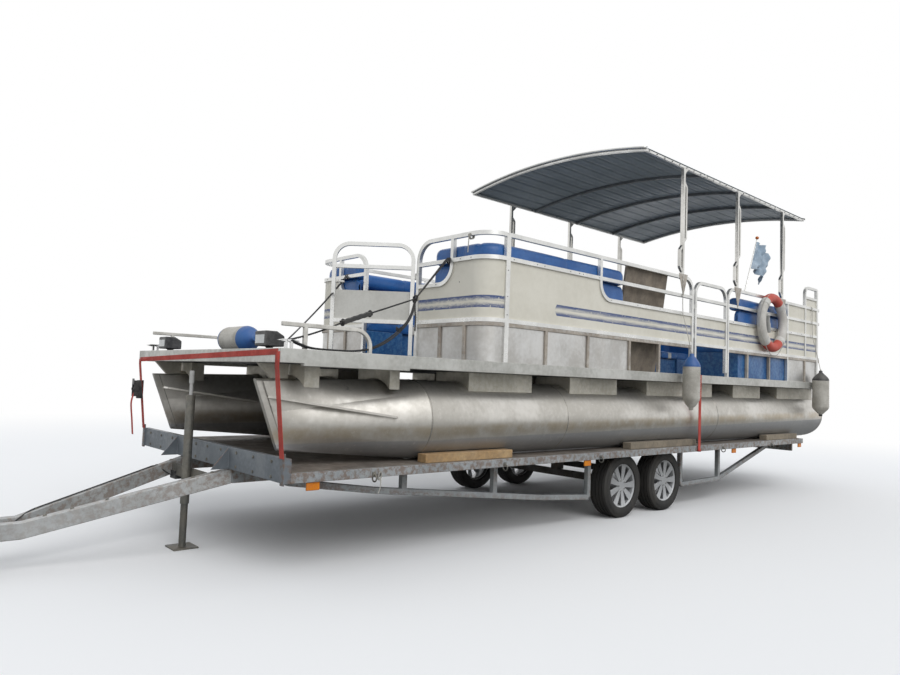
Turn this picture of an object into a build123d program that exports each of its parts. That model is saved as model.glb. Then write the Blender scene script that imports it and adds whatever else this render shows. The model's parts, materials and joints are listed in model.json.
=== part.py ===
from build123d import *
import math
import os

# A pontoon boat with a hard canopy, strapped down on its tandem axle flatbed trailer.
# Millimetres. x is to port, y runs aft, z is the height above the ground.
# The tables below give lengthwise places from the deck's front edge.

# Where the deck's front edge lies, so that the origin is midway along the whole part
COUPLING_REACH = 1900
MOTOR_REACH = 9315.2
BOW_Y = (COUPLING_REACH - MOTOR_REACH) / 2

# Trailer bed
BED_TOP = 643
BED_FRONT = 113
BED_RAIL = 59
BED_RAIL_WIDTH = 40
BED_FLOOR = 18
HEADBOARD_LIFT = 86
HEADBOARD_HEIGHT = HEADBOARD_LIFT + BED_RAIL
MAIN_BEAM_X = 400
MAIN_BEAM_WIDTH = 60
MAIN_BEAM_HEIGHT = 100
CHORD_TUBE = 44

# Drawbar and coupling
DRAWBAR_BEND_Y = -1015
DRAWBAR_X = 90
DRAWBAR_DROP = 347
DRAWBAR_END_Y = -1620
BALL_RADIUS = 25
COUPLING_WALL = 5

# Wheels
TYRE_RADIUS = 295
TYRE_WIDTH = 190
RIM_RADIUS = 200
WHEEL_Z = TYRE_RADIUS
AXLE_YS = (3670, 4400)
SPOKES = 9
STUB_RADIUS = 20
ARM_REACH = 160

# Jack
JACK_Y = -25
JACK_TUBE_RADIUS = 30
JACK_LEG_RADIUS = 24
JACK_TUBE_TOP = BED_TOP + 405
JACK_TUBE_BOTTOM = 300
JACK_BAR = 338.7
JACK_BAR_ZS = (460, 540)
JACK_FOOT = 170
JACK_FOOT_THICK = 10

# Pontoons
PONTOON_RADIUS = 281
KEEL_HEIGHT = 7
KEEL_WIDTH = 60
PONTOON_Z = BED_TOP + KEEL_HEIGHT + PONTOON_RADIUS
NOSE_SEAM_Y = 1205
STEM_TOP = (6, 254)
STEM_FOOT = (177, -190)
STEM_WIDTH = 36
STEM_DEPTH = 45
PONTOON_WALL = 8
STERN_DOME = 200
STRAKE_PROUD = 24
STRAKE_THICK = 14

# Deck
DECK_WIDTH = 2440
DECK_LENGTH = 8120
DECK_TOP = BED_TOP + 725
PONTOON_X = DECK_WIDTH / 2 - 329
STERN_SEAM_Y = DECK_LENGTH + 30
BED_WIDTH = DECK_WIDTH - 24
BED_HALF = BED_WIDTH / 2
BED_REAR = DECK_LENGTH - 680
CHORD_X = BED_HALF - 208
WHEEL_OUTER_X = BED_HALF - 140
SIDE_RAIL_HEIGHT = 85
SIDE_RAIL_WIDTH = 40
BOW_RAIL_HEIGHT = 100
BOW_RAIL_START = 155
BOW_RAIL_END = 950
FLOOR_THICK = 25
CROSS_BEAM = 60
RISER_HALF = 189
RISER_WALL = 6
SEAT_GAP = 0.3

# Fence: heights are above the deck's top
TUBE = 32
FENCE_X = DECK_WIDTH / 2 - 25
BOW_FENCE_Y = 1670
STERN_FENCE_Y = DECK_LENGTH - 35
CORNER_RADIUS = 165
CORNER_POST_Y = 1870
CORNER_POST = 45
STERN_POST_Y = STERN_FENCE_Y - CORNER_POST_Y + BOW_FENCE_Y
RAIL_TOP = 975
RAIL_MID = 790
RAIL_DROP = 610
RAIL_LOW = 315
CHANNEL = 30
PANEL = 3
BOW_OPENING = 383
STERN_OPENING = 470
END_HOOP = 170
DROP_BEND = 150
SHORT_POST_X = FENCE_X - 395
DROP_Y = 3050
FORWARD_END_Y = 4620
AFT_START_Y = 5390
FULL_PANEL_Y = DECK_LENGTH - 1170
RAISED_Y = DECK_LENGTH - 620
RAISED_TOP = 1240
RAISED_MID = 1105
RAISED_BEND = 100
GATEPOST_BEND = 120

# Gates
GATE_GAP = 34
LATCH_GAP = 10
PIN_TO_GATE = 12
HINGE_PIN = 5
HINGE_BARREL = 9
HINGE_LENGTH = 40
HINGE_PLAY = 0.5
LUG = 6
HINGE_HEIGHTS = (400, 700)
BOW_GATE_TOP = 960
BOW_GATE_OPEN = 48
GATE_BEND = 130

# Canopy
ROOF_HALF = FENCE_X + 9
ROOF_FRONT = 3713
ROOF_REAR = DECK_LENGTH - 649
ROOF_RISE = 2854
ROOF_EDGE = BED_TOP + ROOF_RISE
ROOF_CROWN = 122
ROOF_SHEET = 4
RIB_COUNT = 15
RIB_HEIGHT = 12
RIB_WIDTH = 30
ARCH = 30
ARCH_YS = (ROOF_FRONT + 32, 4860, 5740, ROOF_REAR - 871, ROOF_REAR - 31)
POST_YS = (FORWARD_END_Y - 200, AFT_START_Y + 210, FULL_PANEL_Y - 160)
STRUT_BEND = 30
FOOT_PLATE = 170
GUSSET = 90
RIB_ROOT = 2
RIB_SPREAD = 0.97
EDGE_RAIL_INSET = 4

# Lounges
BASE_HEIGHT = 290
CUSHION = 100
LOUNGE_DEPTH = 560
BACK_THICK = 130
LOUNGE_X = FENCE_X - TUBE / 2 - 6


def side_plane(x):
    """Lengthwise upright plane: local x runs aft from the deck's front, local y is the height."""
    return Plane(origin=(x, BOW_Y, 0), x_dir=(0, 1, 0), z_dir=(1, 0, 0))


def face_plane(y):
    """Crosswise upright plane: local x is to port, local y is the height."""
    return Plane(origin=(0, BOW_Y + y, 0), x_dir=(1, 0, 0), z_dir=(0, -1, 0))


def level_plane(z):
    """Level plane: local x is to port, local y runs aft from the deck's front."""
    return Plane(origin=(0, BOW_Y, z), x_dir=(1, 0, 0), z_dir=(0, 0, 1))


def block(xs, ys, zs, mode=Mode.ADD):
    """Add a straight block that spans xs, ys and zs, each a (low, high) pair."""
    with BuildSketch(level_plane(zs[0])) as base:
        with Locations(((xs[0] + xs[1]) / 2, (ys[0] + ys[1]) / 2)):
            Rectangle(xs[1] - xs[0], ys[1] - ys[0])
    extrude(base.sketch, amount=zs[1] - zs[0], mode=mode)


def tubes(plane, runs, width, depth):
    """Add square tubes that lie in one plane. Each run is (bend radius or 0, points)."""
    with BuildSketch(plane) as outline:
        for bend, points in runs:
            with BuildLine():
                if bend:
                    FilletPolyline(*points, radius=bend)
                else:
                    Polyline(*points)
            trace(line_width=width)
    extrude(outline.sketch, amount=depth / 2, both=True)


def spans(a, b):
    return (min(a, b), max(a, b))


def plate(plane, points, thick, both=False):
    """Add a flat plate with straight edges."""
    with BuildSketch(plane) as outline:
        with BuildLine():
            Polyline(*points, close=True)
        make_face()
    extrude(outline.sketch, amount=thick, both=both)


def save(piece, name):
    piece.part.label = name
    export_step(piece.part, f"parts/{name}.step")


def above(height):
    """Height above the ground of a fence height, which is measured from the deck."""
    return DECK_TOP + height


# Pontoons: a raked wedge nose, a round tube and a domed stern on a keel strip, welded from sheet
def nose_outlines(centre, wall, back):
    """Outlines of the stem and of the nose's end, drawn in by a wall and moved aft of the stem."""
    rake = math.atan2(STEM_FOOT[0] - STEM_TOP[0], STEM_TOP[1] - STEM_FOOT[1])
    stem_middle = ((STEM_TOP[0] + STEM_FOOT[0]) / 2, (STEM_TOP[1] + STEM_FOOT[1]) / 2)
    stem = Plane(
        origin=(centre, BOW_Y + stem_middle[0] + back, PONTOON_Z + stem_middle[1]),
        x_dir=(1, 0, 0),
        z_dir=(0, math.cos(rake), math.sin(rake)),
    )
    seam = Plane(origin=(centre, BOW_Y + NOSE_SEAM_Y - wall, PONTOON_Z), x_dir=(1, 0, 0), z_dir=(0, 1, 0))
    straight = (math.dist(STEM_TOP, STEM_FOOT) - STEM_WIDTH) / 2 - wall
    with BuildSketch(stem) as stem_outline:
        with BuildLine():
            Line((STEM_WIDTH / 2, -straight), (STEM_WIDTH / 2, straight))
            CenterArc((0, straight), STEM_WIDTH / 2, 0, 180)
            Line((-STEM_WIDTH / 2, straight), (-STEM_WIDTH / 2, -straight))
            CenterArc((0, -straight), STEM_WIDTH / 2, 180, 180)
        make_face()
    with BuildSketch(seam) as seam_outline:
        with BuildLine():
            for turn in range(4):
                CenterArc((0, 0), PONTOON_RADIUS - wall, 45 + 90 * turn, 90)
        make_face()
    return [stem_outline.sketch, seam_outline.sketch]


def pontoon(side, name):
    centre = side * PONTOON_X
    tube_length = STERN_SEAM_Y - NOSE_SEAM_Y
    inner = PONTOON_RADIUS - PONTOON_WALL
    seam = Vector(centre, BOW_Y + NOSE_SEAM_Y, PONTOON_Z)
    lengthwise = Plane(origin=seam, x_dir=(0, 1, 0), z_dir=(1, 0, 0))
    stem_outline, seam_outline = nose_outlines(centre, 0, 0)
    with BuildPart() as hull:
        loft([stem_outline, seam_outline], ruled=True)
        extrude(seam_outline, amount=tube_length)
        with BuildSketch(lengthwise):
            with BuildLine():
                Line((tube_length, 0), (tube_length, PONTOON_RADIUS))
                EllipticalCenterArc(
                    (tube_length, 0), STERN_DOME, PONTOON_RADIUS, start_angle=0, arc_size=90
                )
                Line((tube_length + STERN_DOME, 0), (tube_length, 0))
            make_face()
        revolve(axis=Axis(seam, (0, 1, 0)))
        block(
            (centre - KEEL_WIDTH / 2, centre + KEEL_WIDTH / 2),
            (NOSE_SEAM_Y, STERN_SEAM_Y),
            (BED_TOP, PONTOON_Z - PONTOON_RADIUS + KEEL_HEIGHT),
        )
        strakes(centre)
        with BuildSketch(lengthwise):
            with BuildLine():
                Line((PONTOON_WALL, 0), (PONTOON_WALL, inner))
                Line((PONTOON_WALL, inner), (tube_length, inner))
                EllipticalCenterArc(
                    (tube_length, 0), STERN_DOME - PONTOON_WALL, inner, start_angle=0, arc_size=90
                )
                Line((tube_length + STERN_DOME - PONTOON_WALL, 0), (PONTOON_WALL, 0))
            make_face()
        revolve(axis=Axis(seam, (0, 1, 0)), mode=Mode.SUBTRACT)
        loft(nose_outlines(centre, PONTOON_WALL, STEM_DEPTH), ruled=True, mode=Mode.SUBTRACT)
    save(hull, name)


# Spray strakes: (distance aft, height above the pontoon's centre, half width of the nose there)
STRAKE = ((87, 139, 32), (944, 17, 222))


def strakes(centre):
    front, rear = STRAKE
    run = math.dist(front[:2], rear[:2])
    fall = (rear[1] - front[1]) / run
    ahead = (rear[0] - front[0]) / run
    top = Plane(
        origin=(centre, BOW_Y + front[0], PONTOON_Z + front[1]),
        x_dir=(1, 0, 0),
        z_dir=(0, -fall, ahead),
    )
    outline = [
        (front[2], 0),
        (front[2] + STRAKE_PROUD, STRAKE_PROUD),
        (rear[2] + STRAKE_PROUD, run - STRAKE_PROUD),
        (rear[2], run),
    ]
    plate(top, outline + [(-x, y) for x, y in reversed(outline)], STRAKE_THICK)


# Deck frame
RISERS = (
    # front, rear
    (242, 347),
    (890, 974),
    (1622, 2326),
    (2815, 3506),
    (4006, 5292),
    (5781, 6474),
    (FULL_PANEL_Y, DECK_LENGTH - 60),
)
RAIL_BOTTOM = DECK_TOP - SIDE_RAIL_HEIGHT
BEAM_BOTTOM = RAIL_BOTTOM - SEAT_GAP


# Gusset on each nose: upper front, lower front and rear
NOSE_GUSSET = (20, 110, 225)


def nose_top(y):
    """Height of the nose's ridge, with the seat gap over it."""
    rise = PONTOON_RADIUS - STEM_TOP[1]
    share = (y - STEM_TOP[0]) / (NOSE_SEAM_Y - STEM_TOP[0])
    return PONTOON_Z + STEM_TOP[1] + rise * share + SEAT_GAP


def deck_risers():
    with BuildPart() as risers:
        for front, rear in RISERS:
            block((PONTOON_X - RISER_HALF, PONTOON_X + RISER_HALF), (front, rear), (PONTOON_Z, BEAM_BOTTOM))
            inner = RISER_HALF - RISER_WALL
            block(
                (PONTOON_X - inner, PONTOON_X + inner),
                (front + RISER_WALL, rear - RISER_WALL),
                (PONTOON_Z, BEAM_BOTTOM - RISER_WALL),
                mode=Mode.SUBTRACT,
            )
        with BuildSketch(Plane(origin=(PONTOON_X, BOW_Y, PONTOON_Z), x_dir=(1, 0, 0), z_dir=(0, 1, 0))):
            Circle(PONTOON_RADIUS + SEAT_GAP)
            with Locations((0, PONTOON_RADIUS / 2)):
                Rectangle(2 * PONTOON_RADIUS, PONTOON_RADIUS)
        extrude(amount=DECK_LENGTH, mode=Mode.SUBTRACT)
        plate(
            side_plane(PONTOON_X),
            (
                (NOSE_GUSSET[0], BEAM_BOTTOM),
                (NOSE_GUSSET[2], BEAM_BOTTOM),
                (NOSE_GUSSET[2], nose_top(NOSE_GUSSET[2])),
                (NOSE_GUSSET[1], nose_top(NOSE_GUSSET[1])),
            ),
            STEM_WIDTH / 2,
            both=True,
        )
        mirror(about=Plane.YZ)
    save(risers, "deck_risers")


def deck_rails():
    half = DECK_WIDTH / 2
    inner = half - SIDE_RAIL_WIDTH - SEAT_GAP
    with BuildPart() as rails:
        block((half - SIDE_RAIL_WIDTH, half), (0, DECK_LENGTH), (RAIL_BOTTOM, DECK_TOP))
        block(
            (half - SIDE_RAIL_WIDTH, half),
            (BOW_RAIL_START, BOW_RAIL_END),
            (DECK_TOP - BOW_RAIL_HEIGHT, RAIL_BOTTOM),
        )
        mirror(about=Plane.YZ)
        for front in (0, DECK_LENGTH - SIDE_RAIL_WIDTH):
            block((-inner, inner), (front, front + SIDE_RAIL_WIDTH), (RAIL_BOTTOM, DECK_TOP))
    save(rails, "deck_rails")


CROSS_BEAM_PITCH = 610


def deck_cross_beams():
    inner = DECK_WIDTH / 2 - SIDE_RAIL_WIDTH
    count = int((DECK_LENGTH - 2 * SIDE_RAIL_WIDTH) // CROSS_BEAM_PITCH)
    with BuildPart() as beams:
        for index in range(count):
            front = (index + 0.5) * DECK_LENGTH / count
            block(
                (-inner, inner),
                (front, front + CROSS_BEAM),
                (RAIL_BOTTOM, DECK_TOP - FLOOR_THICK),
            )
    save(beams, "deck_cross_beams")


def deck_floor():
    inner = DECK_WIDTH / 2 - SIDE_RAIL_WIDTH
    with BuildPart() as floor:
        block(
            (-inner, inner),
            (SIDE_RAIL_WIDTH, DECK_LENGTH - SIDE_RAIL_WIDTH),
            (DECK_TOP - FLOOR_THICK, DECK_TOP),
        )
    save(floor, "deck_floor")


# Hinges: lugs and a pin on the post, a barrel on the gate between them
BOW_PIN_X = BOW_OPENING - TUBE / 2 - GATE_GAP + PIN_TO_GATE
SIDE_PIN_Y = FORWARD_END_Y + TUBE / 2 + GATE_GAP - PIN_TO_GATE


def hinge_lugs(pin, xs, ys):
    """Lugs over xs and ys, from the post to a pin at x, y, and the pins in them."""
    reach = HINGE_LENGTH / 2 + HINGE_PLAY
    for height in HINGE_HEIGHTS:
        for low in (above(height) - reach - LUG, above(height) + reach):
            block(xs, ys, (low, low + LUG))
            with BuildSketch(level_plane(low)) as end:
                with Locations(pin):
                    Circle(HINGE_BARREL)
            extrude(end.sketch, amount=LUG)
        with BuildSketch(level_plane(above(height) - reach)) as rod:
            with Locations(pin):
                Circle(HINGE_PIN)
        extrude(rod.sketch, amount=2 * reach)


def hinge_barrels(plane):
    """Barrels on a gate, round the pin at the plane's origin, with a leaf to the gate's tube."""
    for height in HINGE_HEIGHTS:
        foot = plane.origin + Vector(0, 0, above(height) - HINGE_LENGTH / 2)
        with BuildSketch(Plane(origin=foot, x_dir=plane.x_dir, z_dir=(0, 0, 1))) as barrel:
            Circle(HINGE_BARREL)
            with Locations((PIN_TO_GATE / 2 + 1, 0)):
                Rectangle(PIN_TO_GATE + 2, HINGE_BARREL)
            Circle(HINGE_PIN + SEAT_GAP, mode=Mode.SUBTRACT)
        extrude(barrel.sketch, amount=HINGE_LENGTH)


# Fence
def corner_route(inner_x, face_y, side_y):
    """Plan route of a rail from the inner post, round the corner and along the side."""
    return (inner_x, face_y), (FENCE_X, face_y), (FENCE_X, side_y)


def level_rail(route, height, width, depth):
    with BuildSketch(level_plane(above(height) - depth / 2)) as outline:
        with BuildLine():
            FilletPolyline(*route, radius=CORNER_RADIUS)
        trace(line_width=width)
    extrude(outline.sketch, amount=depth)


def end_rails(face_y, side_y, opening):
    """Upper tubes of one half of the bow or stern fence, which run round the corner."""
    level_rail(corner_route(opening + END_HOOP, face_y, side_y), RAIL_TOP, TUBE, TUBE)
    level_rail(corner_route(opening, face_y, side_y), RAIL_MID, TUBE, TUBE)
    level_rail(corner_route(opening, face_y, side_y), RAIL_LOW, TUBE, TUBE)
    top = above(RAIL_TOP)
    drop = above(RAIL_DROP)
    runs = (
        (END_HOOP - TUBE / 2, ((opening, above(0)), (opening, top), (SHORT_POST_X, top))),
        (DROP_BEND, ((SHORT_POST_X, top), (SHORT_POST_X, drop), (opening, drop))),
    )
    tubes(face_plane(face_y), runs, TUBE, TUBE)
    mirror(about=Plane.YZ)


def fence_rails_bow():
    with BuildPart() as rails:
        end_rails(BOW_FENCE_Y, CORNER_POST_Y - CORNER_POST / 2, BOW_OPENING)
        hinge_lugs(
            (BOW_PIN_X, BOW_FENCE_Y),
            (BOW_PIN_X, BOW_OPENING - TUBE / 2),
            (BOW_FENCE_Y - HINGE_BARREL, BOW_FENCE_Y + HINGE_BARREL),
        )
    save(rails, "fence_rails_bow")


def fence_rails_stern():
    with BuildPart() as rails:
        end_rails(STERN_FENCE_Y, STERN_POST_Y + CORNER_POST / 2, STERN_OPENING)
    save(rails, "fence_rails_stern")


def forward_runs():
    """Upper tubes between the bow corner and the side gate: (bend radius, points)."""
    top = above(RAIL_TOP)
    return [
        (GATEPOST_BEND, ((CORNER_POST_Y, top), (FORWARD_END_Y, top), (FORWARD_END_Y, above(0)))),
        (0, ((CORNER_POST_Y, above(RAIL_MID)), (FORWARD_END_Y, above(RAIL_MID)))),
        (DROP_BEND, ((DROP_Y, top), (DROP_Y, above(RAIL_DROP)), (FORWARD_END_Y, above(RAIL_DROP)))),
        (0, ((CORNER_POST_Y, above(RAIL_LOW)), (FORWARD_END_Y, above(RAIL_LOW)))),
    ]


def aft_runs():
    """Upper tubes between the side gate and the stern corner: (bend radius, points)."""
    top = above(RAIL_TOP)
    raised = above(RAISED_TOP)
    return [
        (GATEPOST_BEND, ((AFT_START_Y, above(0)), (AFT_START_Y, top), (STERN_POST_Y, top))),
        (0, ((AFT_START_Y, above(RAIL_MID)), (STERN_POST_Y, above(RAIL_MID)))),
        (0, ((AFT_START_Y, above(RAIL_DROP)), (STERN_POST_Y, above(RAIL_DROP)))),
        (0, ((AFT_START_Y, above(RAIL_LOW)), (STERN_POST_Y, above(RAIL_LOW)))),
        (0, ((FULL_PANEL_Y, above(0)), (FULL_PANEL_Y, top))),
        (RAISED_BEND, ((RAISED_Y, above(RAIL_LOW)), (RAISED_Y, raised), (STERN_POST_Y, raised))),
        (0, ((RAISED_Y, above(RAISED_MID)), (STERN_POST_Y, above(RAISED_MID)))),
    ]


def side_post(x, y, top):
    block((x - TUBE / 2, x + TUBE / 2), (y - CORNER_POST / 2, y + CORNER_POST / 2), (above(0), above(top)))


def fence_rails_port():
    with BuildPart() as rails:
        tubes(side_plane(FENCE_X), forward_runs(), TUBE, TUBE)
        tubes(side_plane(FENCE_X), aft_runs(), TUBE, TUBE)
        side_post(FENCE_X, CORNER_POST_Y, RAIL_TOP)
        side_post(FENCE_X, STERN_POST_Y, RAISED_TOP)
        hinge_lugs(
            (FENCE_X, SIDE_PIN_Y),
            (FENCE_X - HINGE_BARREL, FENCE_X + HINGE_BARREL),
            (FORWARD_END_Y + TUBE / 2, SIDE_PIN_Y),
        )
    save(rails, "fence_rails_port")


def fence_rails_starboard():
    heights = [above(rail) for rail in (RAIL_MID, RAIL_DROP, RAIL_LOW)]
    bridge = [(0, ((FORWARD_END_Y, height), (AFT_START_Y, height))) for height in heights]
    with BuildPart() as rails:
        tubes(side_plane(-FENCE_X), forward_runs() + aft_runs() + bridge, TUBE, TUBE)
        side_post(-FENCE_X, CORNER_POST_Y, RAIL_TOP)
        side_post(-FENCE_X, STERN_POST_Y, RAISED_TOP)
    save(rails, "fence_rails_starboard")


# Lower frame: the channel under the low rail and the short posts that stand on the deck
FORWARD_POSTS = (2340, 2890, 3510, 4010)
AFT_POSTS = (AFT_START_Y + 480, FULL_PANEL_Y - 510, RAISED_Y - 10)
END_POST_XS = (FENCE_X - 515, FENCE_X - 231)
CHANNEL_TOP = RAIL_LOW - TUBE / 2
CHANNEL_Z = CHANNEL_TOP - CHANNEL / 2


def lower_side(x, posts, start, end):
    runs = [(0, ((y, above(0)), (y, above(CHANNEL_Z)))) for y in posts]
    runs.append((0, ((start, above(CHANNEL_Z)), (end, above(CHANNEL_Z)))))
    tubes(side_plane(x), runs, CHANNEL, CHANNEL)


def lower_end(face_y, side_y, opening):
    level_rail(corner_route(opening + TUBE / 2, face_y, side_y), CHANNEL_Z, CHANNEL, CHANNEL)
    runs = [(0, ((x, above(0)), (x, above(CHANNEL_Z)))) for x in END_POST_XS]
    tubes(face_plane(face_y), runs, CHANNEL, CHANNEL)


def fence_lower_frame():
    bow_end = CORNER_POST_Y + CORNER_POST / 2
    stern_end = STERN_POST_Y - CORNER_POST / 2
    with BuildPart() as frame:
        lower_end(BOW_FENCE_Y, CORNER_POST_Y - CORNER_POST / 2, BOW_OPENING)
        lower_end(STERN_FENCE_Y, STERN_POST_Y + CORNER_POST / 2, STERN_OPENING)
        lower_side(FENCE_X, FORWARD_POSTS, bow_end, FORWARD_END_Y - TUBE / 2)
        lower_side(FENCE_X, AFT_POSTS[:2], AFT_START_Y + TUBE / 2, FULL_PANEL_Y - TUBE / 2)
        lower_side(FENCE_X, AFT_POSTS[2:], FULL_PANEL_Y + TUBE / 2, stern_end)
        mirror(about=Plane.YZ)
        lower_side(-FENCE_X, (), FORWARD_END_Y + TUBE / 2, AFT_START_Y - TUBE / 2)
    save(frame, "fence_lower_frame")


# Panels between the tubes
def side_panel(x, low_span, steps):
    """A flat panel whose top steps: steps are (start, end, top height)."""
    with BuildSketch(side_plane(x)) as outline:
        for start, end, top in steps:
            with Locations(((start + end) / 2, above((low_span + top) / 2))):
                Rectangle(end - start, top - low_span)
        inner = [step for step in steps if step[2] > RAIL_DROP]
        if len(steps) > 1 and inner:
            corner = (steps[0][1], above(steps[1][2]))
            nearest = outline.vertices().sort_by_distance((*corner, 0))[0]
            fillet(nearest, radius=DROP_BEND + TUBE / 2)
    extrude(outline.sketch, amount=PANEL / 2, both=True)


def end_panel(face_y, side_y, opening):
    low = above(RAIL_LOW) + TUBE / 2
    high = above(RAIL_MID) - TUBE / 2
    with BuildSketch(level_plane(low)) as outline:
        with BuildLine():
            FilletPolyline(*corner_route(opening + TUBE / 2, face_y, side_y), radius=CORNER_RADIUS)
        trace(line_width=PANEL)
    extrude(outline.sketch, amount=high - low)
    drop = above(RAIL_DROP) - TUBE / 2
    with BuildSketch(face_plane(face_y)) as cut:
        with Locations(((SHORT_POST_X + TUBE / 2 + opening) / 2, (drop + high) / 2)):
            Rectangle(SHORT_POST_X + TUBE / 2 - opening, high - drop)
        corner = cut.vertices().sort_by_distance((SHORT_POST_X + TUBE / 2, drop, 0))[0]
        fillet(corner, radius=DROP_BEND + TUBE / 2)
    extrude(cut.sketch, amount=TUBE, both=True, mode=Mode.SUBTRACT)


def fence_panels():
    low = RAIL_LOW + TUBE / 2
    full = RAIL_MID - TUBE / 2
    drop = RAIL_DROP - TUBE / 2
    bow_end = CORNER_POST_Y + CORNER_POST / 2
    stern_end = STERN_POST_Y - CORNER_POST / 2
    upper = RAIL_TOP - TUBE / 2
    step_y = DROP_Y - TUBE / 2
    raised_end = RAISED_Y - TUBE / 2
    with BuildPart() as panels:
        end_panel(BOW_FENCE_Y, CORNER_POST_Y - CORNER_POST / 2, BOW_OPENING)
        end_panel(STERN_FENCE_Y, STERN_POST_Y + CORNER_POST / 2, STERN_OPENING)
        side_panel(FENCE_X, low, ((bow_end, step_y, full), (step_y, FORWARD_END_Y - TUBE / 2, drop)))
        side_panel(FENCE_X, low, ((AFT_START_Y + TUBE / 2, FULL_PANEL_Y - TUBE / 2, drop),))
        for start, last in ((FULL_PANEL_Y + TUBE / 2, raised_end), (RAISED_Y + TUBE / 2, stern_end)):
            side_panel(FENCE_X, low, ((start, last, drop),))
            side_panel(FENCE_X, RAIL_DROP + TUBE / 2, ((start, last, full),))
            side_panel(FENCE_X, RAIL_MID + TUBE / 2, ((start, last, upper),))
        side_panel(
            FENCE_X, RAIL_TOP + TUBE / 2, ((RAISED_Y + TUBE / 2, stern_end, RAISED_MID - TUBE / 2),)
        )
        mirror(about=Plane.YZ)
        side_panel(-FENCE_X, low, ((FORWARD_END_Y + TUBE / 2, AFT_START_Y - TUBE / 2, drop),))
    save(panels, "fence_panels")


def lower_end_panels(face_y, side_y, opening):
    """Lower panels of one half of the bow or stern fence, the last one round the corner."""
    top = CHANNEL_TOP - CHANNEL
    places = (opening,) + END_POST_XS
    for start, end in zip(places, places[1:]):
        with BuildSketch(face_plane(face_y)) as bay:
            with Locations(((start + end) / 2, above(top / 2))):
                Rectangle(end - start - TUBE, top)
        extrude(bay.sketch, amount=PANEL / 2, both=True)
    with BuildSketch(level_plane(above(0))) as outline:
        with BuildLine():
            route = corner_route(END_POST_XS[-1] + TUBE / 2, face_y, side_y)
            FilletPolyline(*route, radius=CORNER_RADIUS)
        trace(line_width=PANEL)
    extrude(outline.sketch, amount=top)


def fence_lower_panels():
    top = CHANNEL_TOP - CHANNEL
    forward = (CORNER_POST_Y + (CORNER_POST - CHANNEL) / 2,) + FORWARD_POSTS[:3]
    aft = (FULL_PANEL_Y, AFT_POSTS[2], STERN_POST_Y - (CORNER_POST - CHANNEL) / 2)
    with BuildPart() as panels:
        for places in (forward, aft):
            for start, end in zip(places, places[1:]):
                side_panel(FENCE_X, 0, ((start + TUBE / 2, end - TUBE / 2, top),))
        lower_end_panels(BOW_FENCE_Y, CORNER_POST_Y - CORNER_POST / 2, BOW_OPENING)
        lower_end_panels(STERN_FENCE_Y, STERN_POST_Y + CORNER_POST / 2, STERN_OPENING)
        mirror(about=Plane.YZ)
    save(panels, "fence_lower_panels")


# Gates: a tube hoop with a flat panel, on a pin beside its post
BOW_GATE_WIDTH = 2 * BOW_OPENING - TUBE - GATE_GAP - LATCH_GAP
SIDE_GATE_WIDTH = AFT_START_Y - FORWARD_END_Y - TUBE - GATE_GAP - LATCH_GAP


def gate_frame(plane, width, top, mid, drop):
    """Hoop and cross tubes of a gate; local x runs from the pin to the free edge."""
    near = PIN_TO_GATE + TUBE / 2
    far = PIN_TO_GATE + width - TUBE / 2
    runs = [
        (GATE_BEND, ((near, above(40)), (near, above(top)), (far, above(top)), (far, above(40)))),
        (0, ((near, above(mid)), (far, above(mid)))),
        (0, ((near, above(RAIL_LOW)), (far, above(RAIL_LOW)))),
    ]
    if drop:
        runs.append((0, ((near, above(drop)), (far, above(drop)))))
    tubes(plane, runs, TUBE, TUBE)
    hinge_barrels(plane)


def gate_plane(pin_x, pin_y, angle):
    """Upright plane through a gate's pin, at an angle from the port direction."""
    turn = math.radians(angle)
    along = (math.cos(turn), math.sin(turn), 0)
    return Plane(origin=(pin_x, BOW_Y + pin_y, 0), x_dir=along, z_dir=(along[1], -along[0], 0))


def gate_panel(plane, width, low, high, thick):
    with BuildSketch(plane) as outline:
        with Locations((PIN_TO_GATE + width / 2, above((low + high) / 2))):
            Rectangle(width - 2 * TUBE, high - low)
    extrude(outline.sketch, amount=thick / 2, both=True)


BOW_GATE_PLANE = gate_plane(BOW_PIN_X, BOW_FENCE_Y, 180 + BOW_GATE_OPEN)
SIDE_GATE_PLANE = gate_plane(FENCE_X, SIDE_PIN_Y, 90)


def gates():
    with BuildPart() as bow_frame:
        gate_frame(BOW_GATE_PLANE, BOW_GATE_WIDTH, BOW_GATE_TOP, RAIL_MID - 20, 0)
    save(bow_frame, "bow_gate_frame")
    with BuildPart() as bow_panel:
        gate_panel(BOW_GATE_PLANE, BOW_GATE_WIDTH, RAIL_LOW + TUBE / 2, RAIL_DROP - 40, 2 * PANEL)
    save(bow_panel, "bow_gate_panel")
    with BuildPart() as side_frame:
        gate_frame(SIDE_GATE_PLANE, SIDE_GATE_WIDTH, BOW_GATE_TOP, RAIL_MID, RAIL_DROP)
    save(side_frame, "side_gate_frame")
    with BuildPart() as side_gate_panel:
        gate_panel(SIDE_GATE_PLANE, SIDE_GATE_WIDTH, RAIL_LOW + TUBE / 2, RAIL_DROP - TUBE / 2, PANEL)
    save(side_gate_panel, "side_gate_panel")


# Canopy: an arched ribbed sheet on tube arches
ROOF_RADIUS = (ROOF_HALF**2 + ROOF_CROWN**2) / (2 * ROOF_CROWN)
ROOF_CENTRE = ROOF_EDGE + ROOF_CROWN - ROOF_RADIUS
ROOF_ANGLE = math.degrees(math.asin(ROOF_HALF / ROOF_RADIUS))


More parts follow.
